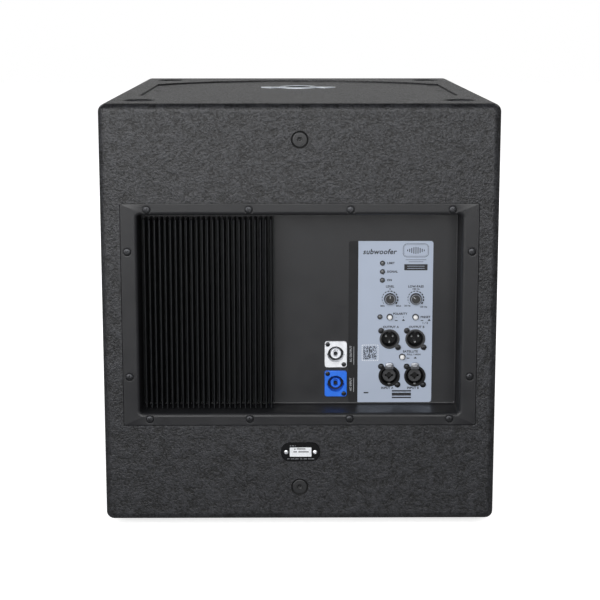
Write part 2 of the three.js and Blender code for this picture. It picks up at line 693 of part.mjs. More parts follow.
function controlLabel() {
  const { left, right, bottom, top, radius } = LABEL;
  const outline = roundedRectangle(right - left, top - bottom, radius);
  const sheet = uprightPlate(outline, LABEL_FACE, PANEL_FACE, (left + right) / 2, (bottom + top) / 2);
  return cut(sheet, ...controlHoles());
}

/** Closed sheet box behind the back panel, which keeps the bass box airtight. */
function rearCover() {
  const { width, height, depth, wall } = COVER;
  const low = AMP.recessZ - height / 2;
  const outside = block([-width / 2, PANEL_BACK, low], [width / 2, PANEL_BACK + depth, low + height]);
  const inside = block(
    [-width / 2 + wall, PANEL_BACK - 1, low + wall],
    [width / 2 - wall, PANEL_BACK + depth - wall, low + height - wall],
  );
  return cut(outside, inside);
}

/** Power stage: a board whose output transistors press on the back of the heat sink. */
function ampBoard() {
  const sinkBack = PANEL_BACK + HEAT_SINK.base;
  const boardFront = sinkBack + BOARD.standoff;
  const boardBack = boardFront + BOARD.sheet;
  const board = block([-180, boardFront, 150], [-32, boardBack, 350]);
  const transistors = [-160, -130, -82, -52].map(
    (x) => block([x - 8, sinkBack, 180], [x + 8, boardFront + 0.5, 202]),
  );
  const coils = [-145, -67].map((x) => barY(14, boardBack - 0.5, boardBack + 22, x, 240, 12));
  const capacitors = [-150, -120, -92, -62].map((x) => barY(11, boardBack - 0.5, boardBack + 28, x, 310, 12));
  return join(board, ...transistors, ...coils, ...capacitors);
}

/** Mains supply board on four posts behind the panel. */
function powerBoard() {
  const boardFront = PANEL_BACK + BOARD.supplyStandoff;
  const boardBack = boardFront + BOARD.sheet;
  const [left, right, low, high] = [-22, 54, 216, 356];
  const board = block([left, boardFront, low], [right, boardBack, high]);
  const posts = [[left + 5, low + 5], [right - 5, low + 5], [left + 5, high - 5], [right - 5, high - 5]].map(
    ([x, z]) => barY(3, PANEL_BACK, boardFront + 0.5, x, z, 8),
  );
  const capacitors = [0, 32].map((x) => barY(13, boardBack - 0.5, boardBack + 26, x, 240, 12));
  return join(board, ...posts, ...capacitors);
}

function transformer() {
  const front = PANEL_BACK + BOARD.supplyStandoff + BOARD.sheet + FIT;
  return turned([[12, front], [32, front], [32, front + 27], [12, front + 27]], 24);
}

/** Front board that carries the potentiometers and switches behind the label. */
function controlBoard() {
  const front = PANEL_FACE + CONNECTOR.depth + 1;
  const potFront = PANEL_FACE + 4;
  const board = block([60, front, 145], [154, front + BOARD.sheet, 330]);
  const pots = KNOBS.map(({ x }) => block([x - 6, potFront, KNOB.z - 6], [x + 6, front + 0.5, KNOB.z + 6]));
  const bores = KNOBS.map(({ x }) => barY(KNOB.shaft + FIT, potFront - 1, potFront + 6, x, KNOB.z, 16));
  const switchFront = LABEL_FACE - BUTTON.proud + BUTTON.length + BUTTON.travel + 1;
  const switches = BUTTONS.map(({ x, z }) => block([x - 4, switchFront, z - 4], [x + 4, front + 0.5, z + 4]));
  return cut(join(board, ...pots, ...switches), ...bores);
}

/** Knob with its shaft, on its own axis, its pointer up and the label's face at y = 0. */
function knob() {
  const { radius, height, lift, shaft, pointer } = KNOB;
  const face = -lift - height;
  const profile = [
    [0, face], [radius - 1.3, face], [radius - 0.6, face + 0.8], [radius, -lift],
    [shaft, -lift], [shaft, 9], [0, 9],
  ];
  const notch = block([-pointer / 2, face - 1, 2], [pointer / 2, face + 0.7, radius + 1]);
  return cut(turned(profile, 24), notch);
}

/** Push button, on its own axis, with the label's face at y = 0. */
function button() {
  const { radius, proud, length } = BUTTON;
  const profile = [
    [0, -proud], [radius - 0.5, -proud], [radius, 0.5 - proud], [radius, length - proud], [0, length - proud],
  ];
  return turned(profile, 12);
}

/** Indicator lens with its bezel, on its own axis, with the label's face at y = 0. */
function indicator() {
  const { lens, bezel, length } = LED;
  const profile = [
    [0, -2.2], [lens * 0.7, -1.8], [lens, -0.8], [bezel, -0.8], [bezel, 0],
    [lens, 0], [lens, length], [0, length],
  ];
  return turned(profile, 10);
}

/** Front plate of a round connector: a disc with an ear for each of its two screws. */
function earedPlate(radius, ears) {
  const back = -LABEL.thickness;
  const front = back - CONNECTOR.plate;
  return join(
    barY(radius, front, back, 0, 0, 28),
    ...ears.map(([x, z]) => barY(EAR.radius, front, back, x, z, 12)),
  );
}

/** Three-pin output, on its own axis, with the panel's face at y = 0. */
function xlrOutput() {
  const { body, cup, cupDepth, pin, pinCircle, face } = XLR;
  const [earX, earZ] = EAR.xlr;
  const front = -LABEL.thickness - CONNECTOR.plate;
  const shell = join(earedPlate(face, [[earX, earZ], [-earX, -earZ]]), barY(body, -1, CONNECTOR.depth));
  const floor = front + cupDepth;
  const pins = [30, 150, 270].map((degrees) => {
    const angle = THREE.MathUtils.degToRad(degrees);
    return barY(pin, floor - 9.5, floor + 1, pinCircle * Math.cos(angle), pinCircle * Math.sin(angle), 8);
  });
  return join(cut(shell, barY(cup, front - 1, floor)), ...pins);
}

/** Combined microphone and jack input, on its own axis, with the panel's face at y = 0. */
function comboInput() {
  const { face, body, mouth, island, sunk, jack } = COMBO;
  const front = -LABEL.thickness - CONNECTOR.plate;
  const shell = join(earedPlate(face, [EAR.comboHigh, EAR.comboLow]), barY(body, -1, CONNECTOR.depth));
  const core = cut(
    barY(island, front + sunk, 11, 0, 0, 24),
    barY(jack, front - 1, 18, 0, 0, 12),
  );
  const hollow = barY(mouth, front - 1, 10);
  const jackBore = barY(jack, 9, 18, 0, 0, 12);
  const slotSide = LATCH.halfWidth + FIT;
  const slot = block([-slotSide, front - 1, LATCH.low - FIT], [slotSide, 8, face + 1]);
  return cut(join(cut(shell, hollow), core), jackBore, slot);
}

/** Metal release tab above a combined input, on the input's axis. */
function comboLatch() {
  const { halfWidth, low, high, proud, depth } = LATCH;
  const outline = roundedRectangle(2 * halfWidth, high - low, 1);
  return uprightPlate(outline, -proud, depth - proud, 0, (low + high) / 2);
}

/** Locking mains socket, on its own axis, with the panel's face at y = 0. */
function powerSocket() {
  const { width, height, radius, plate, body, depth, mouth, island, sunk, keyway, centre } = POWER;
  const flange = uprightPlate(roundedRectangle(width, height, radius), -plate, 0);
  const shell = cut(join(flange, barY(body, -1, depth)), barY(mouth, -plate - 1, keyway - plate));
  const core = cut(
    barY(island, sunk - plate, keyway - plate + 1),
    barY(centre, -plate, keyway - plate, 0, 0, 12),
  );
  return join(shell, core);
}

function addAmplifier() {
  addPiece("amp_tray", ampTray(), 0x424346, 0.6, 0.3);
  addPiece("amp_gasket", ampGasket(), RUBBER, 0.95);
  addPiece("heat_sink", heatSink(), 0x141517, 0.45, 0.6);
  addPiece("control_label", controlLabel(), 0xa9b3c4, 0.55);
  addPiece("amp_rear_cover", rearCover(), 0x8d9094, 0.5, 0.7);
  addPiece("amp_board", ampBoard(), BOARD_GREEN, 0.6);
  addPiece("power_board", powerBoard(), BOARD_GREEN, 0.6);
  addPiece("control_board", controlBoard(), BOARD_GREEN, 0.6);
  addPiece("transformer", transformer(), 0xb38a2e, 0.5).position.set(16, 0, 310);
}

function addControls() {
  KNOBS.forEach(({ name, x, pointerDegrees }) => {
    const mesh = addPiece(name, knob(), BLACK_PLASTIC, 0.5);
    mesh.position.set(x, LABEL_FACE, KNOB.z);
    mesh.rotation.y = -THREE.MathUtils.degToRad(pointerDegrees);
  });
  BUTTONS.forEach(({ name, x, z }) => {
    addPiece(name, button(), 0xe8e8e6, 0.45).position.set(x, LABEL_FACE, z);
  });
  LEDS.forEach(({ name, x, z }) => {
    addPiece(name, indicator(), 0x6d7076, 0.3).position.set(x, LABEL_FACE, z);
  });
  [["a", COLUMN_A], ["b", COLUMN_B]].forEach(([side, x]) => {
    addPiece(`xlr_output_${side}`, xlrOutput(), BLACK_PLASTIC, 0.4).position.set(x, PANEL_FACE, XLR.z);
    addPiece(`combo_input_${side}`, comboInput(), BLACK_PLASTIC, 0.4).position.set(x, PANEL_FACE, COMBO.z);
    addPiece(`combo_latch_${side}`, comboLatch(), SILVER, 0.3, 0.9).position.set(x, PANEL_FACE, COMBO.z);
  });
  const acOutput = addPiece("ac_output_socket", powerSocket(), 0xe6e8ec, 0.45);
  acOutput.position.set(POWER.x, PANEL_FACE, POWER.outputZ);
  const acInput = addPiece("ac_input_socket", powerSocket(), 0x2c6ed6, 0.45);
  acInput.position.set(POWER.x, PANEL_FACE, POWER.inputZ);
}

addBox();
addWoofer();
addAmplifier();
addControls();

export default assembly;
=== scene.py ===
"""Looks of a powered 15-inch bass cabinet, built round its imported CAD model.

Metres, in the CAD's own frame: X to the right as one faces the amplifier, Y from the amplifier side to the
grille, Z up. Flat things on the back face are laid out in millimetres as (x, z), and rise towards -Y.
"""

import json
import math
import random

import bmesh
import bpy
from mathutils import Matrix, Vector


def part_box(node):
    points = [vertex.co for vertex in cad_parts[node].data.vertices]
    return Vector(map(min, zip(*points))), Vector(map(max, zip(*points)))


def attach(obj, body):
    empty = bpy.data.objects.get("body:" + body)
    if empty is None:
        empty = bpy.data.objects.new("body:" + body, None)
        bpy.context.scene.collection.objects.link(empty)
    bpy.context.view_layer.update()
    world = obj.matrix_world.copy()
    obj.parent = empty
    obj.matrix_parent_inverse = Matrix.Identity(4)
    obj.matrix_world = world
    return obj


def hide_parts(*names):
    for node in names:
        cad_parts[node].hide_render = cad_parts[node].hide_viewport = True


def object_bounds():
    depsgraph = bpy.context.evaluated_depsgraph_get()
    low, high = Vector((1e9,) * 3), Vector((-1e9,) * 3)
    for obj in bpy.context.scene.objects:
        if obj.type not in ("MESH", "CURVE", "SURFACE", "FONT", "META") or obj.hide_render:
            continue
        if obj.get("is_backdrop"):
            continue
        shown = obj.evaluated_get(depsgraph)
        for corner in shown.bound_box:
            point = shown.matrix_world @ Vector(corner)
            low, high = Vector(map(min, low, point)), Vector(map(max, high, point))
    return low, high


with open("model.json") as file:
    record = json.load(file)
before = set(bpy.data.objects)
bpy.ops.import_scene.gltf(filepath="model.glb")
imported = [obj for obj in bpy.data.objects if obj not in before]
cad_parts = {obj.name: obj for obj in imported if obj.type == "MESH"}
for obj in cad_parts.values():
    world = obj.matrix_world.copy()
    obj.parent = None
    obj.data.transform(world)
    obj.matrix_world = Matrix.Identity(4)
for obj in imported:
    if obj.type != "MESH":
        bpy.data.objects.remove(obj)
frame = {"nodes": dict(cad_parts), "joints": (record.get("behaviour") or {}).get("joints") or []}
cad_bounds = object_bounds()

MM = 0.001

# ------------------------------------------------------------ places from the frame


def low(node):
    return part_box(node)[0] / MM


def high(node):
    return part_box(node)[1] / MM


def size_of(node):
    return high(node) - low(node)


def middle(node):
    return (low(node) + high(node)) / 2


BOX_LOW = Vector((low("left_side_panel").x, low("top_panel").y, low("left_side_panel").z))
BOX_HIGH = Vector((high("right_side_panel").x, high("top_panel").y, high("left_side_panel").z))
PLY = high("right_side_panel").x - low("right_side_panel").x
INNER_X = high("top_panel").x
INNER_LOW = high("bottom_panel").z
INNER_HIGH = low("top_panel").z
REAR = BOX_LOW.y
TRAY_FACE = low("amp_tray").y
PANEL_FACE = high("control_label").y
LABEL_FACE = low("control_label").y

# ------------------------------------------------------------ mesh tools


def add_object(name, data):
    """A new object in the scene that holds a mesh, a curve, a light or a camera."""
    obj = bpy.data.objects.new(name, data)
    bpy.context.scene.collection.objects.link(obj)
    return obj


def from_bmesh(name, bm):
    """A new object that holds a bmesh, which is used up."""
    mesh = bpy.data.meshes.new(name)
    bm.to_mesh(mesh)
    bm.free()
    return add_object(name, mesh)


def mesh_object(name, vertices, faces):
    """A new object from points in millimetres."""
    mesh = bpy.data.meshes.new(name)
    mesh.from_pydata([Vector(v) * MM for v in vertices], [], faces)
    return add_object(name, mesh)


def tidy(obj):
    """Merges doubled points and turns every face outwards."""
    bm = bmesh.new()
    bm.from_mesh(obj.data)
    bmesh.ops.remove_doubles(bm, verts=bm.verts, dist=1e-6)
    bmesh.ops.dissolve_degenerate(bm, edges=bm.edges, dist=1e-7)
    bmesh.ops.recalc_face_normals(bm, faces=bm.faces)
    bm.to_mesh(obj.data)
    bm.free()
    return obj


def loft(name, loops, caps=True):
    """A closed body through loops of equal counts. Without caps, its ends meet or lie on the axis."""
    count = len(loops[0])
    vertices = [p for loop in loops for p in loop]
    last = len(vertices) - count
    faces = [tuple(range(count)), tuple(range(last, len(vertices)))] if caps else []
    for start in range(0, last, count):
        for i in range(count):
            j = (i + 1) % count
            faces.append((start + i, start + j, start + count + j, start + count + i))
    return tidy(mesh_object(name, vertices, faces))


def round_loop(radius, y, x=0, z=0, segments=32):
    """A circle on the back face, at depth y."""
    angles = [2 * math.pi * i / segments for i in range(segments)]
    return [(x + radius * math.cos(a), y, z + radius * math.sin(a)) for a in angles]


def turned(name, profile, x=0, z=0, segments=32):
    """A turned body about an axis along Y, from (radius, y) points that start and end on the axis or meet."""
    closed = profile[0][0] > 0 or profile[-1][0] > 0
    rings = profile + [profile[0]] if closed else profile
    return loft(name, [round_loop(radius, y, x, z, segments) for radius, y in rings], caps=False)


def rounded_outline(width, height, radius, steps=6):
    """Points (u, v) of a rectangle with rounded corners, about its middle."""
    points = []
    for quarter, (su, sv) in enumerate(((1, 1), (-1, 1), (-1, -1), (1, -1))):
        for i in range(steps + 1):
            angle = math.pi / 2 * (quarter + i / steps)
            u = su * (width / 2 - radius) + radius * math.cos(angle)
            v = sv * (height / 2 - radius) + radius * math.sin(angle)
            points.append((u, v))
    return points


def rod(name, radius, y0, y1, x=0, z=0, segments=32):
    """A round bar along Y."""
    return turned(name, [(0, y0), (radius, y0), (radius, y1), (0, y1)], x, z, segments)


def upright(name, rings, x, y, segments=48, caps=True):
    """A body about an upright axis, from (radius, z) rings."""
    angles = [2 * math.pi * i / segments for i in range(segments)]
    loops = [[(x + r * math.cos(a), y + r * math.sin(a), z) for a in angles] for r, z in rings]
    return loft(name, loops, caps)


def node_outline(node, grow, corner, steps=6):
    """Outline of a CAD node on the back face, grown or shrunk all round."""
    size = size_of(node)
    return rounded_outline(size.x + 2 * grow, size.z + 2 * grow, corner + grow, steps)


def face_loop(outline, y, x=0, z=0):
    """An outline laid on the back face at depth y, about the point (x, z)."""
    return [(x + u, y, z + v) for u, v in outline]


def face_plate(name, outline, y0, y1, x=0, z=0):
    return loft(name, [face_loop(outline, y0, x, z), face_loop(outline, y1, x, z)])


def block(name, corner, opposite):
    (x0, y0, z0), (x1, y1, z1) = corner, opposite
    ring = lambda y: [(x0, y, z0), (x1, y, z0), (x1, y, z1), (x0, y, z1)]
    return loft(name, [ring(y0), ring(y1)])


def apply_modifiers(obj):
    bpy.context.view_layer.update()
    depsgraph = bpy.context.evaluated_depsgraph_get()
    mesh = bpy.data.meshes.new_from_object(obj.evaluated_get(depsgraph))
    old = obj.data
    obj.modifiers.clear()
    obj.data = mesh
    bpy.data.meshes.remove(old)
    return obj


def combine(obj, others, operation):
    """Joins or cuts obj with the other objects, which are used up."""
    for other in others:
        modifier = obj.modifiers.new("combine", "BOOLEAN")
        modifier.operation = operation
        modifier.solver = "EXACT"
        modifier.object = other
    apply_modifiers(obj)
    for other in others:
        bpy.data.objects.remove(other)
    return obj


def carve(obj, *cutters):
    return combine(obj, cutters, "DIFFERENCE")


def fuse(obj, *others):
    return combine(obj, others, "UNION")


def gather(name, objects):
    """One object that holds the given bodies side by side."""
    bm = bmesh.new()
    for obj in objects:
        obj.data.transform(obj.matrix_world)
        bm.from_mesh(obj.data)
        bpy.data.objects.remove(obj)
    return from_bmesh(name, bm)


def copy_at(master, matrix):
    """A copy of the master's mesh, moved by a matrix in metres."""
    mesh = master.data.copy()
    mesh.transform(matrix)
    return add_object(master.name, mesh)


def soften(obj, width, segments=2, angle=30):
    """Rounds the edges sharper than the angle. The width is in millimetres."""
    modifier = obj.modifiers.new("soften", "BEVEL")
    modifier.width = width * MM
    modifier.segments = segments
    modifier.limit_method = "ANGLE"
    modifier.angle_limit = math.radians(angle)
    modifier.use_clamp_overlap = True
    apply_modifiers(obj)
    return obj


def shade(obj, angle=32):
    """Smooth shading, with edges sharper than the angle kept crisp and flat faces kept flat."""
    obj.data.shade_smooth()
    obj.data.set_sharp_from_angle(angle=math.radians(angle))
    modifier = obj.modifiers.new("weigh", "WEIGHTED_NORMAL")
    modifier.keep_sharp = True
    apply_modifiers(obj)
    return obj


def piece(obj, material, body="cabinet", replaces=(), angle=32):
    """Shades a finished piece, gives it its material, and ties it to the frame."""
    shade(obj, angle)
    obj.data.materials.clear()
    obj.data.materials.append(material)
    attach(obj, body)
    if replaces:
        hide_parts(*replaces)
    return obj


# ------------------------------------------------------------ materials


class Surface:
    """A procedural material. Its patterns are laid in the piece's own space, in metres."""

    def __init__(self, name, color, roughness, metallic=0.0, specular=0.5):
        self.material = bpy.data.materials.new(name)
        self.material.use_nodes = True
        self.tree = self.material.node_tree
        self.shader = self.tree.nodes["Principled BSDF"]
        self.set("Base Color", (*color, 1))
        self.set("Roughness", roughness)
        self.set("Metallic", metallic)
        self.set("Specular IOR Level", specular)
        self.color = color
        self.bump_input = None
        self.space = self.node("ShaderNodeTexCoord").outputs["Object"]

    def set(self, socket, value):
        self.shader.inputs[socket].default_value = value

    def node(self, kind, **values):
        node = self.tree.nodes.new(kind)
        for key, value in values.items():
            if hasattr(node, key):
                setattr(node, key, value)
            else:
                node.inputs[key.replace("_", " ")].default_value = value
        return node

    def link(self, source, target):
        self.tree.links.new(source, target)

    def noise(self, size, detail=3.0, roughness=0.55, stretch=(1, 1, 1), coords=None):
        """Noise whose lumps are about the given size, in millimetres."""
        mapping = self.node("ShaderNodeMapping")
        mapping.inputs["Scale"].default_value = stretch
        self.link(coords or self.space, mapping.inputs["Vector"])
        noise = self.node("ShaderNodeTexNoise", Scale=1 / (size * MM), Detail=detail, Roughness=roughness)
        self.link(mapping.outputs["Vector"], noise.inputs["Vector"])
        return noise.outputs["Fac"]

    def remap(self, value, from_low, from_high, to_low, to_high):
        node = self.node("ShaderNodeMapRange")
        limits = {"From Min": from_low, "From Max": from_high, "To Min": to_low, "To Max": to_high}
        for socket, number in limits.items():
            node.inputs[socket].default_value = number
        self.link(value, node.inputs["Value"])
        return node.outputs["Result"]

    def blend(self, first, second, share):
        """The first value with a share of the second mixed in."""
        mix = self.node("ShaderNodeMix", data_type="FLOAT")
        mix.inputs[0].default_value = share
        self.link(first, mix.inputs[2])
        self.link(second, mix.inputs[3])
        return mix.outputs[0]

    def vary_color(self, value, dark, light, low_end=0.35, high_end=0.65):
        """Base colour that runs from dark to light times the surface's colour, as the value rises."""
        mix = self.node("ShaderNodeMix", data_type="RGBA")
        shades = [tuple(min(1.0, c * k) for c in self.color) + (1,) for k in (dark, light)]
        mix.inputs[6].default_value, mix.inputs[7].default_value = shades
        self.link(self.remap(value, low_end, high_end, 0, 1), mix.inputs[0])
        self.link(mix.outputs[2], self.shader.inputs["Base Color"])
        return self

    def vary_roughness(self, value, smooth, rough):
        self.link(self.remap(value, 0.35, 0.65, smooth, rough), self.shader.inputs["Roughness"])
        return self

    def bump(self, value, height, strength=1.0):
        """Relief of the given height in millimetres, on top of any relief already there."""
        bump = self.node("ShaderNodeBump")
        bump.inputs["Strength"].default_value = strength
        bump.inputs["Distance"].default_value = height * MM
        self.link(value, bump.inputs["Height"])
        if self.bump_input:
            self.link(self.bump_input, bump.inputs["Normal"])
        self.bump_input = bump.outputs["Normal"]
        self.link(self.bump_input, self.shader.inputs["Normal"])
        return self


def coating():
    """Thick black polyurea on plywood: an orange-peel of lumps 2 to 3 mm across, shinier on their tops, which
    are also painted lighter as a painted highlight.
    """
    s = Surface("textured_coating", (0.0152, 0.0157, 0.0180), 0.4, specular=0.5)
    lumps = s.noise(2.4, detail=3, roughness=0.66)
    grit = s.noise(0.9, detail=2, roughness=0.6)
    mottle = s.noise(9, detail=2)
    # Colour follows the lumps' height: their tops are painted lighter, a painted highlight. The mottle mixed
    # in is tone that differs at random.
    s.vary_color(s.blend(lumps, mottle, 0.3), 0.15, 2.1, 0.40, 0.60)
    s.vary_roughness(lumps, 0.48, 0.28)
    return s.bump(mottle, 0.7, 0.8).bump(lumps, 0.9, 0.9).bump(grit, 0.15, 0.6).material


def powder_coat(name, color, roughness=0.5):
    """Fine-textured powder coat on sheet metal."""
    s = Surface(name, color, roughness, specular=0.5)
    grain = s.noise(0.7, detail=2)
    s.vary_color(grain, 0.85, 1.15)
    s.vary_roughness(s.noise(30, detail=3), roughness - 0.06, roughness + 0.07)
    return s.bump(grain, 0.12, 0.6).material


def moulded(name, color, roughness=0.45, grain_size=0.35, relief=0.03, specular=0.5):
    """Moulded plastic with a fine spark-eroded grain."""
    s = Surface(name, color, roughness, specular=specular)
    s.vary_color(s.noise(6, detail=3), 0.92, 1.08)
    s.vary_roughness(s.noise(9, detail=3), roughness - 0.05, roughness + 0.06)
    return s.bump(s.noise(grain_size, detail=1.5), relief, 0.7).material


def metal(name, color, roughness=0.3, brushed=(1, 1, 1), metallic=1.0):
    """Bare or plated metal, with fine scratches along the axis that brushed stretches least."""
    s = Surface(name, color, roughness, metallic=metallic)
    scratches = s.noise(0.6, detail=4, roughness=0.65, stretch=brushed)
    s.vary_color(s.noise(14, detail=3), 0.9, 1.06)
    s.vary_roughness(scratches, roughness - 0.07, roughness + 0.1)
    return s.bump(scratches, 0.012, 0.5).material


def rubber():
    s = Surface("black_rubber", (0.012, 0.012, 0.012), 0.75, specular=0.35)
    s.vary_color(s.noise(4, detail=3), 0.8, 1.3)
    return s.bump(s.noise(0.5, detail=2), 0.05, 0.5).material


def foam():
    """Open-cell foam: round pores a millimetre across, painted darker in their hollows as painted shade."""
    s = Surface("black_foam", (0.012, 0.012, 0.0125), 0.95, specular=0.15)
    cells = s.node("ShaderNodeTexVoronoi", Scale=1 / (1.3 * MM))
    s.link(s.space, cells.inputs["Vector"])
    # Painted shade: the colour darkens towards each pore's middle, where the relief is lowest.
    s.vary_color(cells.outputs["Distance"], 0.35, 1.7, 0.1, 0.75)
    return s.bump(cells.outputs["Distance"], 0.6, 0.9).material


def anodised():
    """Black anodised extrusion, with faint lines along its fins."""
    s = Surface("black_anodised", (0.0095, 0.0105, 0.0125), 0.42, metallic=0.25)
    lines = s.noise(0.5, detail=3, stretch=(1, 1, 0.03))
    s.vary_color(lines, 0.8, 1.2)
    s.vary_roughness(lines, 0.34, 0.5)
    return s.bump(lines, 0.02, 0.5).material


def printed_film():
    """Light blue-grey print on satin film."""
    s = Surface("label_film", (0.395, 0.450, 0.555), 0.42, specular=0.4)
    s.vary_color(s.noise(60, detail=2), 0.985, 1.02)
    s.vary_roughness(s.noise(0.6, detail=2), 0.38, 0.47)
    return s.bump(s.noise(0.4, detail=2), 0.012, 0.5).material


def ink(name, color):
    s = Surface(name, color, 0.5, specular=0.4)
    s.vary_color(s.noise(1.2, detail=2), 0.92, 1.08)
    return s.material


def lens(name, color):
    """Smoked lens of an indicator that is off."""
    s = Surface(name, color, 0.16, specular=0.6)
    s.vary_color(s.noise(1.5, detail=2), 0.85, 1.2)
    return s.material


def plywood():
    """Bare birch plywood: long grain, with the plies' lines on the edges."""
    s = Surface("bare_plywood", (0.47, 0.33, 0.19), 0.6, specular=0.3)
    grain = s.noise(3, detail=5, roughness=0.6, stretch=(1, 0.06, 1))
    s.vary_color(grain, 0.75, 1.12)
    return s.bump(grain, 0.08, 0.4).material


def board():
    s = Surface("green_board", (0.012, 0.085, 0.03), 0.35, specular=0.5)
    tracks = s.noise(2, detail=0.5)
    s.vary_color(tracks, 0.7, 1.35, 0.48, 0.52)
    return s.bump(tracks, 0.03, 0.3).material


def cone_pulp():
    s = Surface("cone_pulp", (0.014, 0.014, 0.0145), 0.85, specular=0.25)
    fibres = s.noise(1.1, detail=6, roughness=0.7)
    s.vary_color(fibres, 0.6, 1.6)
    return s.bump(fibres, 0.15, 0.6).material


COATING = coating()
AMP_PAINT = powder_coat("amp_powder_coat", (0.0143, 0.0147, 0.0168), 0.42)
BOLT_PAINT = powder_coat("bolt_paint", (0.019, 0.0195, 0.021), 0.42)
GRILLE_PAINT = powder_coat("grille_powder_coat", (0.018, 0.018, 0.019), 0.42)
BASKET_PAINT = powder_coat("basket_paint", (0.014, 0.014, 0.015), 0.4)
FOAM = foam()
RUBBER = rubber()
ANODISED = anodised()
FILM = printed_film()
DARK_INK = ink("dark_ink", (0.016, 0.017, 0.020))
PALE_INK = ink("pale_ink", (0.30, 0.31, 0.33))
WHITE_INK = ink("white_ink", (0.78, 0.80, 0.83))
STRIP_PAINT = moulded("strip_film", (0.0085, 0.0090, 0.0105), 0.55, specular=0.35)
KNOB_PLASTIC = moulded("knob_plastic", (0.016, 0.016, 0.018), 0.42)
HANDLE_PLASTIC = moulded("handle_plastic", (0.020, 0.020, 0.021), 0.48, grain_size=0.8, relief=0.06)
CONNECTOR_PLASTIC = moulded("connector_plastic", (0.042, 0.043, 0.046), 0.42)
PLATE_PLASTIC = moulded("plate_plastic", (0.0045, 0.0047, 0.0054), 0.6, specular=0.15)
BUTTON_PLASTIC = moulded("button_plastic", (0.80, 0.80, 0.79), 0.3)
WHITE_PLASTIC = moulded("white_socket_plastic", (0.84, 0.86, 0.90), 0.4)
BLUE_PLASTIC = moulded("blue_socket_plastic", (0.020, 0.165, 0.78), 0.38)
LENS = lens("smoked_lens", (0.10, 0.102, 0.106))
LATCH_METAL = metal("latch_plate", (0.46, 0.475, 0.51), 0.42)
# Pale grey of the ring round each knob's cap: a painted highlight of the knob's lit top edge.
RIM_HIGHLIGHT_PLASTIC = moulded("knob_rim_painted_highlight", (0.27, 0.29, 0.33), 0.5)
POINTER_INK = ink("pointer_ink", (0.42, 0.43, 0.45))
CAP_PLASTIC = moulded("knob_cap_plastic", (0.030, 0.030, 0.031), 0.55)
# Near-black plastic: the combo shells' own colour, and also dark linings and floors that paint the shade
# inside bores, cups and holes.
BLACK_PLASTIC_AND_SHADE = moulded("black_plastic_and_painted_shade", (0.0060, 0.0062, 0.0068), 0.55, specular=0.3)
SILVER = metal("cast_silver", (0.84, 0.89, 0.97), 0.45, metallic=0.2)
NICKEL = metal("nickel_plate", (0.86, 0.87, 0.90), 0.30)
DARK_STEEL = metal("black_oxide", (0.055, 0.056, 0.06), 0.38)
ZINC = metal("zinc_plate", (0.55, 0.56, 0.57), 0.32)
COPPER = metal("enamelled_copper", (0.65, 0.28, 0.12), 0.3)
FERRITE = moulded("ferrite", (0.045, 0.045, 0.048), 0.55)
WINDING = moulded("taped_winding", (0.5, 0.32, 0.07), 0.4, grain_size=1.5, relief=0.2)
SPIDER_CLOTH = moulded("spider_cloth", (0.40, 0.22, 0.07), 0.8, grain_size=0.9, relief=0.25)
PLYWOOD = plywood()
BOARD = board()
CONE = cone_pulp()

# ------------------------------------------------------------ fasteners

REARWARD = Matrix.Identity(4)
UPWARD = Matrix.Rotation(-math.pi / 2, 4, "X")
DOWNWARD = Matrix.Rotation(math.pi / 2, 4, "X")


def place_at(obj, x, z, turn=0.0):
    """Turns a body that was made about the Y axis, and moves it to a point on the back face."""
    obj.data.transform(Matrix.Translation(Vector((x, 0, z)) * MM) @ Matrix.Rotation(turn, 4, "Y"))
    return obj


def phillips_head(radius, height):
    """Pan head about the origin, with its underside at y = 0 and a cross recess. It rises towards -Y."""
    steps = 5
    angles = [math.pi / 2 * i / steps for i in range(steps + 1)]
    crown = [(radius * math.cos(a), -height * (0.45 + 0.55 * math.sin(a))) for a in angles]
    crown[-1] = (0, -height)
    head = turned("head", [(0, 0.6), (radius * 0.97, 0.6), (radius, 0)] + crown, segments=28)
    reach, slot = radius * 0.62, radius * 0.13
    arms = [
        block("arm", (-u, -height - 1, -v), (u, -height * 0.25, v)) for u, v in ((reach, slot), (slot, reach))
    ]
    return carve(head, *arms)


def screws(
    name, radius, height, places, material, facing=REARWARD, turn=lambda i: 0.7 * (i + 1),
):
    """Copies of one screw head at places in millimetres, each turned about its own axis."""
    master = phillips_head(radius, height)
    copies = []
    for i, place in enumerate(places):
        matrix = Matrix.Translation(Vector(place) * MM) @ facing @ Matrix.Rotation(turn(i), 4, "Y")
        copies.append(copy_at(master, matrix))
    bpy.data.objects.remove(master)
    return piece(gather(name, copies), material)


# ------------------------------------------------------------ cabinet

EDGE_RADIUS = 9
NAMEPLATE_CORNER = 9.5
FRAME_CORNER = 2.0
DISH_RADIUS = 18.5
POLE_HOLE = 20.5
BOLT_BORE = 10
BOLTS = ("rigging_bolt_upper", "rigging_bolt_lower")
HANDLES = {"handle_right": 1, "handle_left": -1}
HANDLE_CORNER = 20
CUT = 40  # how far a cutter reaches past the face that it cuts


def inset_outline(offset, steps=28):
    """Outline of the inset plate about its middle: two straight sides and two bows, drawn in by an offset."""
    half_width = high("top_plate").x + 0.3
    reach = (high("top_plate").y - low("top_plate").y) / 2 + 0.3
    bow_radius = 234.5
    centre = reach - bow_radius
    radius = bow_radius - offset
    corner = math.acos((half_width - offset) / radius)
    points = []
    for side in (1, -1):
        for i in range(steps + 1):
            angle = corner + (math.pi - 2 * corner) * i / steps
            points.append((side * radius * math.cos(angle), side * (centre + radius * math.sin(angle))))
    return points


def flat_plate(name, outline, z0, z1, x=0, y=0):
    """A flat plate from an outline in X and Y."""
    return loft(name, [[(x + u, y + v, z) for u, v in outline] for z in (z0, z1)])


def dish_places():
    feet = [middle(f"rubber_foot_{i}") for i in (1, 2, 3, 4)]
    return [(foot.x, foot.y) for foot in feet]


def side_plate(name, outline, x0, x1, z):
    """A plate parallel to the sides, from an outline in Y and Z."""
    return loft(name, [[(x, u, z + v) for u, v in outline] for x in (x0, x1)])


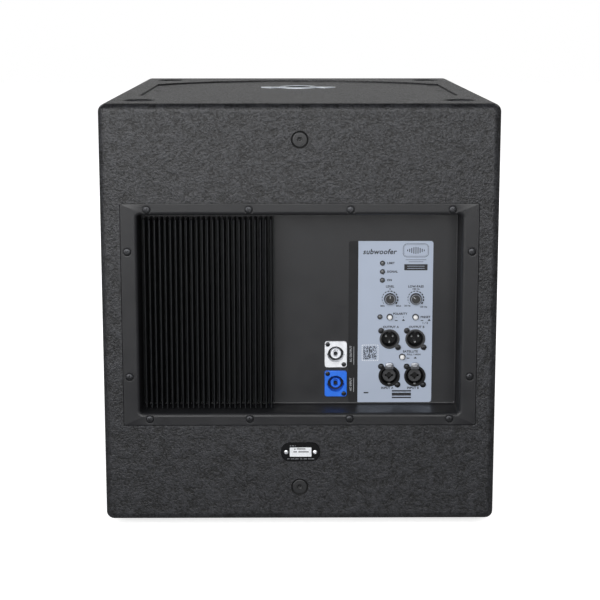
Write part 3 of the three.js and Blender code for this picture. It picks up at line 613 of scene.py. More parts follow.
def cabinet_shell():
    """The coated plywood box as one skin, because the coating hides the joints between its panels."""
    shell = soften(block("cabinet_shell", BOX_LOW, BOX_HIGH), EDGE_RADIUS, segments=6)
    near, far, top = REAR - CUT, REAR + CUT, BOX_HIGH.z
    plate, pole = middle("nameplate"), middle("pole_socket")
    rebate = node_outline("amp_tray", 0.15, FRAME_CORNER)
    pocket = node_outline("nameplate", 0.3, NAMEPLATE_CORNER, steps=10)
    cutters = [
        block("cavity", (-INNER_X, REAR + PLY, INNER_LOW), (INNER_X, BOX_HIGH.y + CUT, INNER_HIGH)),
        face_plate("rebate", rebate, near, high("amp_gasket").y, 0, middle("amp_tray").z),
        face_plate("opening", rounded_outline(371, 235, 2), near, far, 0, RECESS_Z),
        face_plate("pocket", pocket, near, high("nameplate").y, plate.x, plate.z),
    ]
    step = REAR + 5.8
    bore = [(0, near), (BOLT_BORE, near), (BOLT_BORE, step), (5.3, step), (5.3, far), (0, far)]
    cutters += [turned("bore", bore, middle(name).x, middle(name).z, segments=48) for name in BOLTS]
    seat, inset_y = low("top_plate").z, middle("top_plate").y
    cutters.append(flat_plate("inset", inset_outline(0), seat, top + CUT, 0, inset_y))
    cutters.append(upright("pole_hole", [(POLE_HOLE, INNER_HIGH - CUT), (POLE_HOLE, top)], pole.x, pole.y))
    dish = [
        (DISH_RADIUS - 1.5, top - 4.5), (DISH_RADIUS, top - 3), (DISH_RADIUS, top - 1.2),
        (DISH_RADIUS + 0.5, top - 0.4), (DISH_RADIUS + 1.3, top), (DISH_RADIUS + 1.3, top + CUT),
    ]
    cutters += [upright("dish", dish, x, y) for x, y in dish_places()]
    for name, side in HANDLES.items():
        size, z, face = size_of(name), middle(name).z, side * BOX_HIGH.x
        flange = rounded_outline(size.y + 0.8, size.z + 0.8, HANDLE_CORNER + 0.4, steps=8)
        cutters.append(side_plate("flange", flange, face - side * 3, face + side * CUT, z))
        cutters.append(side_plate("hole", rounded_outline(184, 94, 19), face - side * CUT, face, z))
    carve(shell, *cutters)
    soften(shell, 0.4, angle=50)
    panels = ("left_side_panel", "right_side_panel", "top_panel", "bottom_panel", "rear_baffle")
    return piece(shell, COATING, replaces=panels, angle=28)


def top_plate():
    """The inset plate, with wide dimples for the screws on its middle line and narrow ones for the others."""
    bottom, top, pole = low("top_plate").z, high("top_plate").z, middle("pole_socket")
    plate = flat_plate("inset_top_plate", inset_outline(0.4), bottom, top, 0, middle("top_plate").y)
    cutters = [upright("hole", [(POLE_HOLE, bottom - 5), (POLE_HOLE, top + 5)], pole.x, pole.y)]
    for x, y in top_screw_places():
        reach = 7.6 if abs(x) < 1 else 4.6
        rings = [(reach, top - 1.3), (reach + 0.4, top), (reach + 0.4, top + 5)]
        cutters.append(upright("dimple", rings, x, y, segments=40))
    carve(plate, *cutters)
    soften(plate, 0.8, angle=50)
    return piece(plate, COATING, replaces=("top_plate",))


def top_screw_places():
    """Two screws on the plate's middle line, and ten more in mirrored places."""
    y = middle("top_plate").y
    return [
        (sx * x, y + sy * reach)
        for x, reach in ((0, 211), (97.5, 181), (182.5, 114), (182.5, 0))
        for sx in ((1, -1) if x else (1,))
        for sy in ((1, -1) if reach else (1,))
    ]


def level_screws(name, radius, height, places, z, material):
    """Screw heads that look up, at (x, y) places on a level surface."""
    spots = [(x, y, z) for x, y in places]
    return screws(name, radius, height, spots, material, facing=UPWARD, turn=lambda i: -0.7 * (i + 1))


def pole_socket():
    """Cast flange with two pointed wings, a raised collar, a tube below and a dark lining in its bore that
    paints the shade there.
    """
    bottom, top, centre = low("pole_socket").z, high("pole_socket").z, middle("pole_socket")
    bore, tube, collar, seat = 18, 20, 25.4, high("top_plate").z

    def about_axis(name, rings, caps=True):
        return upright(name, rings, centre.x, centre.y, 64, caps)

    body = about_axis("pole_mount", [
        (tube, bottom), (tube, seat), (collar, seat), (collar, top - 0.6), (collar - 1.2, top),
        (bore + 1, top),
    ])
    half = [(0, 6), (25, 6), (31, 10), (36.5, 14), (42, 9.5), (50, 0.8)]
    outline = half + [(u, -v) for u, v in reversed(half)]
    wings = [
        flat_plate("wing", [(side * u, v) for u, v in outline], seat, top - 0.6, centre.x, centre.y)
        for side in (-1, 1)
    ]
    fuse(body, *wings)
    mouth = [(bore, bottom + 3), (bore, top - 0.4), (bore + 0.6, top + 0.2), (bore + 0.6, top + 5)]
    carve(body, about_axis("bore", mouth))
    soften(body, 0.3, angle=50)
    piece(body, SILVER, replaces=("pole_socket",))
    inner, outer = bore - 0.9, bore - 0.02
    # Painted shade: a thin near-black tube lines the bore so that it looks dark inside.
    liner = [
        (inner, bottom + 4), (inner, top - 1.2), (bore - 0.3, top - 0.6), (outer, top - 1.2),
        (outer, bottom + 4),
    ]
    piece(about_axis("pole_mount_bore_shade", liner + liner[:1], caps=False), BLACK_PLASTIC_AND_SHADE)
    places = [(centre.x + 36, centre.y), (centre.x - 36, centre.y)]
    level_screws("pole_mount_screws", 3.0, 0.6, places, top - 0.6, ZINC)


def rubber_feet():
    """Tapered feet with a ribbed side, a rounded tread and a screw in the recess."""
    for i in (1, 2, 3, 4):
        name = f"rubber_foot_{i}"
        centre, radius, height = middle(name), size_of(name).x / 2, high(name).z
        rings = [
            (5, 4), (5, 0.8), (5.8, 0), (radius - 3, 0), (radius - 1.6, 0.5), (radius - 0.9, 1.8),
            (radius - 0.6, height * 0.45), (radius - 1.0, height * 0.5), (radius - 0.5, height * 0.56),
            (radius - 0.1, height),
        ]
        piece(upright(f"foot_{i}", rings, centre.x, centre.y), RUBBER, replaces=(name,))
    places = [(x, y, 4) for x, y in dish_places()]
    screws("foot_screws", 4.4, 2.2, places, ZINC, facing=DOWNWARD, turn=lambda i: 0)


def bar_handle(name, side):
    """Recessed handle: a flange with rounded lips, a cup and a grip with rounded edges across it."""
    size, z, face = size_of(name), middle(name).z, side * BOX_HIGH.x
    length, tall, depth = 178, 88, size.x

    def ring(width, height, corner, inward):
        return [(face - side * inward, u, z + v) for u, v in rounded_outline(width, height, corner, 8)]

    def lip(inset, inward):
        return ring(size.y - inset, size.z - inset, HANDLE_CORNER - inset / 2, inward)

    def wall(grow, corner, inward):
        return ring(length + grow, tall + grow, corner, inward)

    cup = loft(f"bar_{name}", [
        wall(5, 18.5, depth), wall(5, 18.5, 3), lip(0, 3), lip(0, 0.9), lip(0.6, 0.25), lip(1.8, 0),
        wall(5, 18.5, 0), wall(2, 17, 0.6), wall(0.4, 16.2, 2.2), wall(0, 16, 4),
        wall(-4, 15, depth - 9), wall(-9, 13, depth - 4), wall(-18, 9, depth - 2.5),
    ])
    end, grip_z = length / 2, z + 22
    loops = []
    for y, inset in ((-end - 1, 0), (-end + 14, 0), (-60, 2.4), (60, 2.4), (end - 14, 0), (end + 1, 0)):
        outline = rounded_outline(22 - inset, 28 - inset, 8 - inset / 2, 5)
        loops.append([(face - side * 11 + u, y, grip_z + v) for u, v in outline])
    grip = loft("grip", loops)
    fuse(cup, grip)
    soften(cup, 1.2, segments=3, angle=50)
    piece(cup, HANDLE_PLASTIC, replaces=(name,), angle=40)
    across, up = size.y / 2 - 22, size.z / 2 - 7
    places = [(face - side * 0.1, y, z + dz) for y in (-across, 0, across) for dz in (-up, up)]
    outward = Matrix.Rotation(side * math.pi / 2, 4, "Z")
    screws(f"{name}_screws", 4, 1.6, places, DARK_STEEL, facing=outward, turn=lambda i: 0.5 * (i // 2))


def nameplate():
    """Black plate with round ends, a white field with plain rules and two chromed screws."""
    centre, back, top = middle("nameplate"), high("nameplate").y, REAR - 0.5

    def plate_loop(inset, y):
        return face_loop(node_outline("nameplate", -inset, NAMEPLATE_CORNER, 10), y, centre.x, centre.z)

    def raised(width, height, corner, rise, steps=2, dx=0, dz=0, bottom=top):
        outline = rounded_outline(width, height, corner, steps)
        return face_plate("name_plate_field", outline, top - rise, bottom, centre.x + dx, centre.z + dz)

    plate = loft("name_plate", [
        plate_loop(0, back), plate_loop(0, top + 0.5), plate_loop(0.25, top + 0.1), plate_loop(0.5, top),
    ])
    piece(plate, PLATE_PLASTIC, replaces=("nameplate",))
    piece(raised(25, 11, 0.8, 0.12, steps=6, bottom=top + 0.1), WHITE_INK)
    rules = [(-6.6, 3.6, 1.6), (0.6, 3.8, 10), (-6.2, 0.3, 4.2), (3.4, 0.3, 12)]
    bars = [raised(width, 1.1, 0.2, 0.16, dx=dx, dz=dz) for dx, dz, width in rules]
    piece(gather("name_plate_lines", bars), DARK_INK)
    dashes = [(-11.5, 7.4, 1.6), (-8.6, 7.4, 2.2), (-6.0, 7.4, 0.8), (14.2, -8.1, 2.8)]
    dashes += [(-14 + 4.9 * i, -8.1, 3.9 if i % 3 else 2.6) for i in range(6)]
    bars = [raised(width, 0.6, 0.2, 0.08, dx=dx, dz=dz) for dx, dz, width in dashes]
    piece(gather("name_plate_rules", bars), PALE_INK)
    places = [(centre.x + dx, top, centre.z) for dx in (-16.6, 16.6)]
    screws("name_plate_screws", 2.5, 1.3, places, NICKEL)


def rigging_bolts():
    """Flat-topped bolts with a six-sided socket and a pin in it, each in a thin dark ring that paints the
    shade in the gap round its head.
    """
    for name in BOLTS:
        centre, radius = middle(name), size_of(name).x / 2
        face, end = low(name).y, high(name).y
        head = [
            (0, face + 0.1), (radius - 1.4, face + 0.1), (radius - 0.7, face + 0.3),
            (radius - 0.2, face + 0.8), (radius, face + 1.5), (radius, face + 5.3), (5, face + 5.3), (5, end),
            (0, end),
        ]
        bolt = turned(f"{name}_head", head, centre.x, centre.z, segments=48)
        socket = [(0, face - 3), (3.4, face - 3), (3.4, face + 2.6), (0, face + 3.6)]
        carve(bolt, turned("key", socket, centre.x, centre.z, 6))
        soften(bolt, 0.2, angle=50)
        piece(bolt, BOLT_PAINT, replaces=(name,))
        pin = [(0, face + 1.5), (0.8, face + 1.7), (1.3, face + 2.4), (1.3, face + 3.6), (0, face + 3.6)]
        piece(turned(f"{name}_pin", pin, centre.x, centre.z, 24), BOLT_PAINT)
        # Painted shade: black rubber fills the floor of the gap between head and bore, so that the gap reads
        # as a dark ring.
        inner, outer = radius + 0.15, BOLT_BORE - 0.05
        gap_shade_ring = [(inner, face + 4.9), (inner, face + 1.6), (outer, face + 1.0), (outer, face + 4.9)]
        piece(turned(f"{name}_sleeve", gap_shade_ring, centre.x, centre.z, 48), RUBBER)


# ------------------------------------------------------------ front


def perforated_cells(bm, centre, face, columns, rows, pitch, hole):
    """Rows of six-sided cells, each with a round hole, staggered from row to row."""
    corners = []
    for i in range(12):
        angle = math.pi / 6 * i + math.pi / 2
        reach = pitch / math.sqrt(3) if i % 2 == 0 else pitch / 2
        corners.append([Vector((r * math.cos(angle), 0, r * math.sin(angle))) for r in (reach, hole)])
    for r in range(rows + 1):
        for c in range(columns + 1 - r % 2):
            x = centre.x + (c - columns / 2 + (r % 2) / 2) * pitch
            z = centre.z + (r - rows / 2) * pitch * math.sqrt(3) / 2
            cell = [[bm.verts.new((Vector((x, face, z)) + p) * MM) for p in pair] for pair in corners]
            for i in range(len(cell)):
                (outer, inner), (next_outer, next_inner) = cell[i - 1], cell[i]
                bm.faces.new((outer, next_outer, next_inner, inner))
    bmesh.ops.remove_doubles(bm, verts=bm.verts, dist=0.02 * MM)


def front_grille():
    """Perforated steel with staggered round holes, a plain border and folded edges."""
    centre, size = middle("front_grille"), size_of("front_grille")
    face, back = high("front_grille").y, low("front_grille").y
    sheet, border, pitch, gap = 1.5, 9, 9.6, 0.6
    columns = int((size.x - 2 * border) / pitch) - 1
    rows = int((size.z - 2 * border) / (pitch * math.sqrt(3) / 2)) - 1
    bm = bmesh.new()
    perforated_cells(bm, centre, face, columns, rows, pitch, hole=3.4)
    inside = max(boundary_loops([e for e in bm.edges if e.is_boundary]), key=len)
    rim = spread_to_rim(inside, centre, (size.x - gap) / 2, (size.z - gap) / 2, face)
    outside = [bm.verts.new(Vector(p) * MM) for p in rim]
    for i in range(len(inside)):
        bm.faces.new((inside[i - 1], outside[i - 1], outside[i], inside[i]))
    for f in bm.faces:
        f.normal_update()
    bmesh.ops.reverse_faces(bm, faces=[f for f in bm.faces if f.normal.y < 0])
    plate = from_bmesh("perforated_grille", bm)
    modifier = plate.modifiers.new("sheet", "SOLIDIFY")
    modifier.thickness = sheet * MM
    modifier.offset = -1
    apply_modifiers(plate)
    edge = rounded_outline(size.x - gap, size.z - gap, 1.2, steps=3)
    lip = face_plate("lip", edge, face - sheet - 0.05, back, 0, centre.z)
    half_x, half_z, wall = size.x / 2, size.z / 2, 1.8
    carve(lip, block("hollow", (wall - half_x, back - 5, centre.z - half_z + wall),
                     (half_x - wall, face + 5, centre.z + half_z - wall)))
    whole = gather("perforated_grille", [plate, lip])
    return piece(whole, GRILLE_PAINT, replaces=("front_grille",))


def boundary_loops(edges):
    """The closed rings of points that a set of boundary edges makes."""
    links = {}
    for e in edges:
        for a, b in ((e.verts[0], e.verts[1]), (e.verts[1], e.verts[0])):
            links.setdefault(a, []).append(b)
    loops, seen = [], set()
    for start in links:
        if start in seen:
            continue
        loop, current, previous = [], start, None
        while current not in seen:
            seen.add(current)
            loop.append(current)
            following = [v for v in links[current] if v is not previous and v not in seen]
            previous = current
            if not following:
                break
            current = following[0]
        loops.append(loop)
    return loops


def spread_to_rim(loop, centre, half_width, half_height, y):
    """For each point of a ring, the point straight outwards on a rectangle whose corners are all used."""
    rim = []
    for v in loop:
        u, w = v.co.x / MM - centre.x, v.co.z / MM - centre.z
        scale = 1 / max(abs(u) / half_width, abs(w) / half_height)
        rim.append([u * scale, w * scale])
    for corner in ((1, 1), (-1, 1), (-1, -1), (1, -1)):
        u, w = corner[0] * half_width, corner[1] * half_height
        nearest = min(range(len(rim)), key=lambda i: math.hypot(rim[i][0] - u, rim[i][1] - w))
        rim[nearest] = [u, w]
    return [(centre.x + u, y, centre.z + w) for u, w in rim]


def grille_foam():
    """Foam sheet behind the grille, slightly crowned between its edges."""
    size, centre = size_of("grille_foam"), middle("grille_foam")
    half_x, half_z, half_y, steps = (size.x - 1) / 2, (size.z - 1) / 2, (size.y - 0.6) / 2, 12
    bm = bmesh.new()
    shares = [2 * i / steps - 1 for i in range(steps + 1)]

    def point(u, v, side):
        crown = 0.76 + 0.24 * (1 - u ** 6) * (1 - v ** 6)
        place = Vector((centre.x + u * half_x, centre.y + side * half_y * crown, centre.z + v * half_z))
        return bm.verts.new(place * MM)

    back, front = ([[point(u, v, side) for v in shares] for u in shares] for side in (-1, 1))
    for grid in (back, front):
        for i in range(steps):
            for j in range(steps):
                bm.faces.new((grid[i][j], grid[i + 1][j], grid[i + 1][j + 1], grid[i][j + 1]))
    edges = [[(k, 0) for k in range(steps + 1)], [(k, steps) for k in range(steps + 1)]]
    edges += [[(j, i) for i, j in edge] for edge in edges]
    for edge in edges:
        for (i, j), (m, n) in zip(edge, edge[1:]):
            bm.faces.new((back[i][j], back[m][n], front[m][n], front[i][j]))
    bmesh.ops.recalc_face_normals(bm, faces=bm.faces)
    obj = from_bmesh("grille_foam_sheet", bm)
    piece(obj, FOAM, replaces=("grille_foam",))


# ------------------------------------------------------------ amplifier module


def fillet(radius, steps=4):
    """Points (offset, depth) of a quarter round, from the face's side to the wall's."""
    angles = [math.pi / 2 * i / steps for i in range(steps + 1)]
    return [(radius * (1 - math.sin(a)), radius * (1 - math.cos(a))) for a in angles]


RECESS_WIDTH = 366
RECESS_HEIGHT = 230
RECESS_Z = 251
RECESS_CORNER = 3
SCREW_SEAT = TRAY_FACE + 0.7


def recess_loop(grow, y):
    corner = max(0.6, RECESS_CORNER + grow)
    outline = rounded_outline(RECESS_WIDTH + 2 * grow, RECESS_HEIGHT + 2 * grow, corner)
    return face_loop(outline, y, 0, RECESS_Z)


def control_holes(button_hole):
    """Cutters for what comes through both the back panel and the label."""
    sizes = ((11, OUTPUTS), (11.9, INPUTS), (3.5, KNOBS), (button_hole, BUTTONS))
    return [hole_for(name, radius) for radius, names in sizes for name in names]


def amp_tray():
    """Folded sheet: a flat frame, four walls with rounded bends, and the back panel with its cut-outs."""
    back, z, sheet = high("amp_tray").y, middle("amp_tray").z, 2

    def frame_loop(inset, depth):
        return face_loop(node_outline("amp_tray", -inset, FRAME_CORNER), TRAY_FACE + depth, 0, z)

    loops = [recess_loop(1.5, back), recess_loop(1.5, TRAY_FACE + sheet)]
    loops += [frame_loop(0, sheet), frame_loop(0, 0.75), frame_loop(0.25, 0.2), frame_loop(0.8, 0)]
    loops += [recess_loop(grow, TRAY_FACE + depth) for grow, depth in fillet(4.0)]
    loops += [recess_loop(-grow, PANEL_FACE - depth) for grow, depth in reversed(fillet(2.0))]
    tray = loft("amp_tray_sheet", loops)
    sink_low, sink_high = low("heat_sink"), high("heat_sink")
    fin_window = block(
        "window", (sink_low.x + 2, PANEL_FACE - 3, sink_low.z + 1.5),
        (sink_high.x - 2, PANEL_FACE + 30, sink_high.z - 2),
    )
    cutters = control_holes(3.8) + [hole_for(name, 12.1) for name in MAINS_SOCKETS]
    dimple = [(0, TRAY_FACE - 4), (6.2, TRAY_FACE - 4), (6.2, TRAY_FACE), (4.5, SCREW_SEAT), (0, SCREW_SEAT)]
    cutters += [turned("dimple", dimple, x, z) for x, _, z in frame_screw_places()]
    carve(tray, fin_window, *cutters)
    return piece(tray, AMP_PAINT, replaces=("amp_tray",), angle=30)


def round_centre(name):
    """Axis of a control or connector, from the CAD. Ears and latches don't shift it."""
    box_centre = middle(name)
    return box_centre.x, box_centre.z


def hole_for(name, radius):
    return rod("hole", radius, PANEL_FACE - 3, PANEL_FACE + 9, *AXES[name])


def frame_screw_places():
    """Four screws along the top and the bottom of the frame, and two down each side."""
    z = middle("amp_tray").z
    across = [(x, SCREW_SEAT, z + dz) for dz in (-121.5, 121.5) for x in (-172, -57.3, 57.3, 172)]
    return across + [(x, SCREW_SEAT, z + 1 + dz) for x in (-194.5, 194.5) for dz in (-72.5, 72.5)]


def heat_sink():
    """Extruded heat sink: a comb of 25 tapered fins with round tips, on a base behind the panel."""
    node_low, node_high = low("heat_sink"), high("heat_sink")
    fins, pitch, first, bottom, top = 25, 6.0, -176.7, 138, 358.5
    tip, root = node_low.y, node_high.y - 8
    half_root, half_tip, steps, margin = 1.15, 0.75, 4, 3
    last = first + (fins - 1) * pitch
    comb = [(first - margin, root + 2), (last + margin, root + 2), (last + margin, root)]
    for i in reversed(range(fins)):
        x = first + i * pitch
        comb += [(x + half_root + 0.5, root), (x + half_root, root - 0.6)]
        for k in range(steps + 1):
            angle = math.pi / 2 - math.pi * k / steps
            comb.append((x + half_tip * math.sin(angle), tip + half_tip - half_tip * math.cos(angle)))
        comb += [(x - half_root, root - 0.6), (x - half_root - 0.5, root)]
    comb.append((first - margin, root))
    blades = flat_plate("fins", comb, bottom, top)
    base = block("base", (node_low.x, root + 0.5, node_low.z), node_high)
    whole = gather("finned_heat_sink", [blades, base])
    return piece(whole, ANODISED, replaces=("heat_sink",), angle=50)


KNOBS = ("level_knob", "low_pass_knob")
BUTTONS = ("polarity_button", "preset_button", "satellite_button")
OUTPUTS = ("xlr_output_a", "xlr_output_b")
INPUTS = ("combo_input_a", "combo_input_b")
MAINS_SOCKETS = ("ac_output_socket", "ac_input_socket")
INDICATORS = ("limit_led", "signal_led", "on_led", "polarity_led")
COLUMNS = {"a": middle("combo_latch_a").x, "b": middle("combo_latch_b").x}
OUTPUT_Z = middle("xlr_output_a").z
INPUT_Z = middle("combo_input_a").z - 0.5
AXES = {name: round_centre(name) for name in BUTTONS + INDICATORS + MAINS_SOCKETS}
for side, column_x in COLUMNS.items():
    AXES[f"xlr_output_{side}"] = (column_x, OUTPUT_Z)
    AXES[f"combo_input_{side}"] = (column_x, INPUT_Z)
for joint in frame["joints"]:
    if joint["child"] in KNOBS:
        AXES[joint["child"]] = (joint["pos_m"][0] / MM, joint["pos_m"][2] / MM)

STRIP_EDGE = 68  # where the dark strip on the left of the label ends


def label_film():
    """The printed film, with a dark strip on its left, and holes for what comes through it."""
    x0, x1 = low("control_label").x, high("control_label").x
    z0, z1 = low("control_label").z, high("control_label").z
    z, height, back = (z0 + z1) / 2, z1 - z0, PANEL_FACE - 0.05
    film = rounded_outline(x1 - STRIP_EDGE, height, 3)
    pale = face_plate("label_pale_film", film, LABEL_FACE, back, (STRIP_EDGE + x1) / 2, z)
    fuse(pale, block("square", (STRIP_EDGE, LABEL_FACE, z0), (STRIP_EDGE + 8, back, z1)))
    carve(pale, *control_holes(3.75))
    piece(pale, FILM, replaces=("control_label",))
    dark = rounded_outline(STRIP_EDGE - x0, height, 2, steps=5)
    strip = face_plate("label_dark_strip", dark, LABEL_FACE + 0.15, back, (STRIP_EDGE + x0) / 2 - 0.02, z)
    piece(strip, STRIP_PAINT)


def text_mesh(words, x, z, cap_height, align="CENTER", upright=True, slant=0.0, weight=0.055):
    """Raised lettering in the built-in typeface, its middle at z. Upright means read from left to right."""
    curve = bpy.data.curves.new("words", "FONT")
    curve.body = words
    curve.size = cap_height * MM / 0.69
    curve.align_x = align
    curve.align_y = "CENTER"
    curve.extrude = 0.02 * MM
    curve.offset = weight * cap_height * MM
    curve.space_character = 1.06
    curve.shear = slant
    curve.resolution_u = 3
    source = add_object("words", curve)
    bpy.context.view_layer.update()
    depsgraph = bpy.context.evaluated_depsgraph_get()
    mesh = bpy.data.meshes.new_from_object(source.evaluated_get(depsgraph))
    bpy.data.objects.remove(source)
    turn = Matrix.Rotation(0 if upright else -math.pi / 2, 4, "Y")
    stand = Matrix.Rotation(math.pi / 2, 4, "X")
    mesh.transform(Matrix.Translation(Vector((x, PRINT_Y, z)) * MM) @ turn @ stand)
    return add_object("words", mesh)


PRINT_Y = LABEL_FACE - 0.03
PRINT_RISE = 0.05
BADGE = (134.5, 319)


def bar(x, z, width, height, radius=0.0, rise=PRINT_RISE, depth=0.05):
    """A printed bar. Its rise is in front of the film, and its depth is in it."""
    outline = rounded_outline(width, height, max(radius, 0.01), steps=3 if radius else 1)
    return face_plate("bar", outline, LABEL_FACE - rise, LABEL_FACE + depth, x, z)


def badge_ring(inset, stroke):
    """A closed printed line round the badge."""
    x, z = BADGE
    outer, inner = (
        rounded_outline(30 - grow, 16 - grow, 5 - grow / 2, steps=8) for grow in (inset, inset + stroke)
    )
    sides = [(outer, 0.05), (outer, -PRINT_RISE), (inner, -PRINT_RISE), (inner, 0.05), (outer, 0.05)]
    return loft("stroke", [face_loop(outline, LABEL_FACE + y, x, z) for outline, y in sides], caps=False)


def dial_marks(x, z):
    """Twelve dashes round a knob, evenly either side of its top, each a little heavier than the last."""
    count, radius, reach = 12, 9.1, 123.75
    dashes = []
    for i in range(count):
        share = i / (count - 1)
        dash = bar(0, radius, 2.5, 0.5 + 1.3 * share, 0.15)
        dashes.append(place_at(dash, x, z, math.radians(reach * (2 * share - 1))))
    return dashes


def button_marks(x, z):
    """Two small pictures of a button: out, and in."""
    return [bar(x, z, 3.2, 0.9), bar(x + 8.3, z, 3.2, 0.9), bar(x + 8.3, z + 0.9, 1.6, 1.2)]


def dot_square(x, z, size, cells):
    """A square of dots in no meaningful order."""
    chance = random.Random(7)
    cell = size / cells
    centres = [(i + 0.5) * cell - size / 2 for i in range(cells)]
    return [
        bar(x + dx, z + dz, cell * 0.92, cell * 0.92)
        for dx in centres for dz in centres if chance.random() < 0.48
    ]


def label_words():
    """The plain words on the label, as (words, x, z, height of capitals)."""
    (level_x, knob_z), (low_pass_x, _) = AXES["level_knob"], AXES["low_pass_knob"]
    (polarity_x, polarity_z), (preset_x, _) = AXES["polarity_button"], AXES["preset_button"]
    satellite_x, satellite_z = AXES["satellite_button"]
    a, b = COLUMNS["a"], COLUMNS["b"]
    return [
        ("LEVEL", level_x, knob_z + 14.4, 2.5), ("0", level_x, knob_z + 11.5, 1.9),
        ("LOW-PASS", low_pass_x, knob_z + 14.4, 2.5), ("100 Hz", low_pass_x, knob_z + 11.4, 1.9),
        ("MIN", level_x - 8.6, knob_z - 8.6, 1.8), ("MAX", level_x + 10.2, knob_z - 8.6, 1.8),
        ("50 Hz", low_pass_x - 9.6, knob_z - 8.4, 1.9), ("150 Hz", low_pass_x + 9.0, knob_z - 9.8, 1.9),
        ("POLARITY", polarity_x + 12.0, polarity_z + 3.8, 2.4),
        ("-", polarity_x + 7.6, polarity_z - 0.2, 1.9), ("+", polarity_x + 15.9, polarity_z - 0.2, 1.9),
        ("PRESET", preset_x + 11.6, polarity_z - 0.2, 2.4), ("1 / 2", preset_x + 11.2, polarity_z - 7.2, 2.3),
        ("OUTPUT A", a + 1.4, OUTPUT_Z + 14.2, 2.5), ("OUTPUT B", b + 1.4, OUTPUT_Z + 14.2, 2.5),
        ("SATELLITE", satellite_x + 9.5, satellite_z + 6.2, 2.5),
        ("FULL / HIGH", satellite_x + 13.5, satellite_z + 2.6, 1.9),
        ("INPUT A", a - 2.2, INPUT_Z - 14.6, 2.5), ("INPUT B", b - 2.0, INPUT_Z - 14.6, 2.5),
    ]


def label_print():
    """Everything printed on the film and on its dark strip."""
    marks = [text_mesh("subwoofer", 73.2, 317.3, 5.8, "LEFT", slant=0.2, weight=0.035)]
    for name, word in (("limit_led", "LIMIT"), ("signal_led", "SIGNAL"), ("on_led", "ON")):
        marks.append(text_mesh(word, AXES["limit_led"][0] + 5.4, AXES[name][1], 2.4, "LEFT"))
    marks += [text_mesh(*row) for row in label_words()]
    for name in KNOBS:
        marks += dial_marks(*AXES[name])
    polarity_z = AXES["polarity_button"][1]
    for name in ("polarity_button", "preset_button"):
        marks += button_marks(AXES[name][0] + 7.6, polarity_z - 4.2)
    marks += button_marks(AXES["satellite_button"][0] + 7.0, AXES["satellite_button"][1] - 1.8)
    marks += [badge_ring(0, 1), badge_ring(2.6, 0.4)]
    for i in range(9):
        reach = 1.6 + 6.6 * math.sin(math.pi * (i + 1) / 10) ** 2
        marks.append(bar(BADGE[0] - 9.6 + 2.4 * i, BADGE[1], 1.0, reach, 0.4))
    tag_x, tag_z, note_x = 134.7, 299.2, 119.6
    marks += [bar(tag_x, tag_z, 27, 7.2, 0.5), bar(tag_x, 308, 24, 0.5), bar(tag_x, 305.6, 17, 0.5)]
    marks += [bar(note_x, 151.6, 22.5, 1.7), bar(note_x, 147.6, 22.5, 3.6, 0.2)]
    marks.append(bar(note_x, 143.6, 22.5, 1.7))
    code_x, code_z, code_rim = 82.4, 197.6, 9.3
    marks += [bar(78, 149.5, 5.6, 1.5)] + dot_square(code_x, code_z, 15.5, 17)
    piece(gather("label_dark_print", marks), DARK_INK)
    lines = [bar(tag_x, tag_z + dz, 20, 0.45, rise=2 * PRINT_RISE, depth=0) for dz in (-1.3, 1.3)]
    piece(gather("label_badge_lines", lines), FILM)
    dashes = []
    for i in range(9):
        step = -8.4 + 2.1 * i
        for rim in (-code_rim, code_rim):
            dashes += [bar(code_x + step, code_z + rim, 1.2, 0.8), bar(code_x + rim, code_z + step, 0.8, 1.2)]
    piece(gather("label_square_border", dashes), WHITE_INK)
    output_z, input_z = AXES["ac_output_socket"][1], AXES["ac_input_socket"][1]
    strip_print = [
        text_mesh("AC OUTPUT", 60.0, output_z, 2.3, upright=False), bar(63.4, output_z - 2, 0.7, 22),
        text_mesh("AC INPUT", 60.0, input_z - 1.5, 2.3, upright=False), bar(63.4, input_z - 2, 0.7, 17),
    ]
    for mark in strip_print:
        mark.data.transform(Matrix.Translation(Vector((0, 0.16, 0)) * MM))
    piece(gather("label_strip_print", strip_print), PALE_INK)


# ------------------------------------------------------------ controls


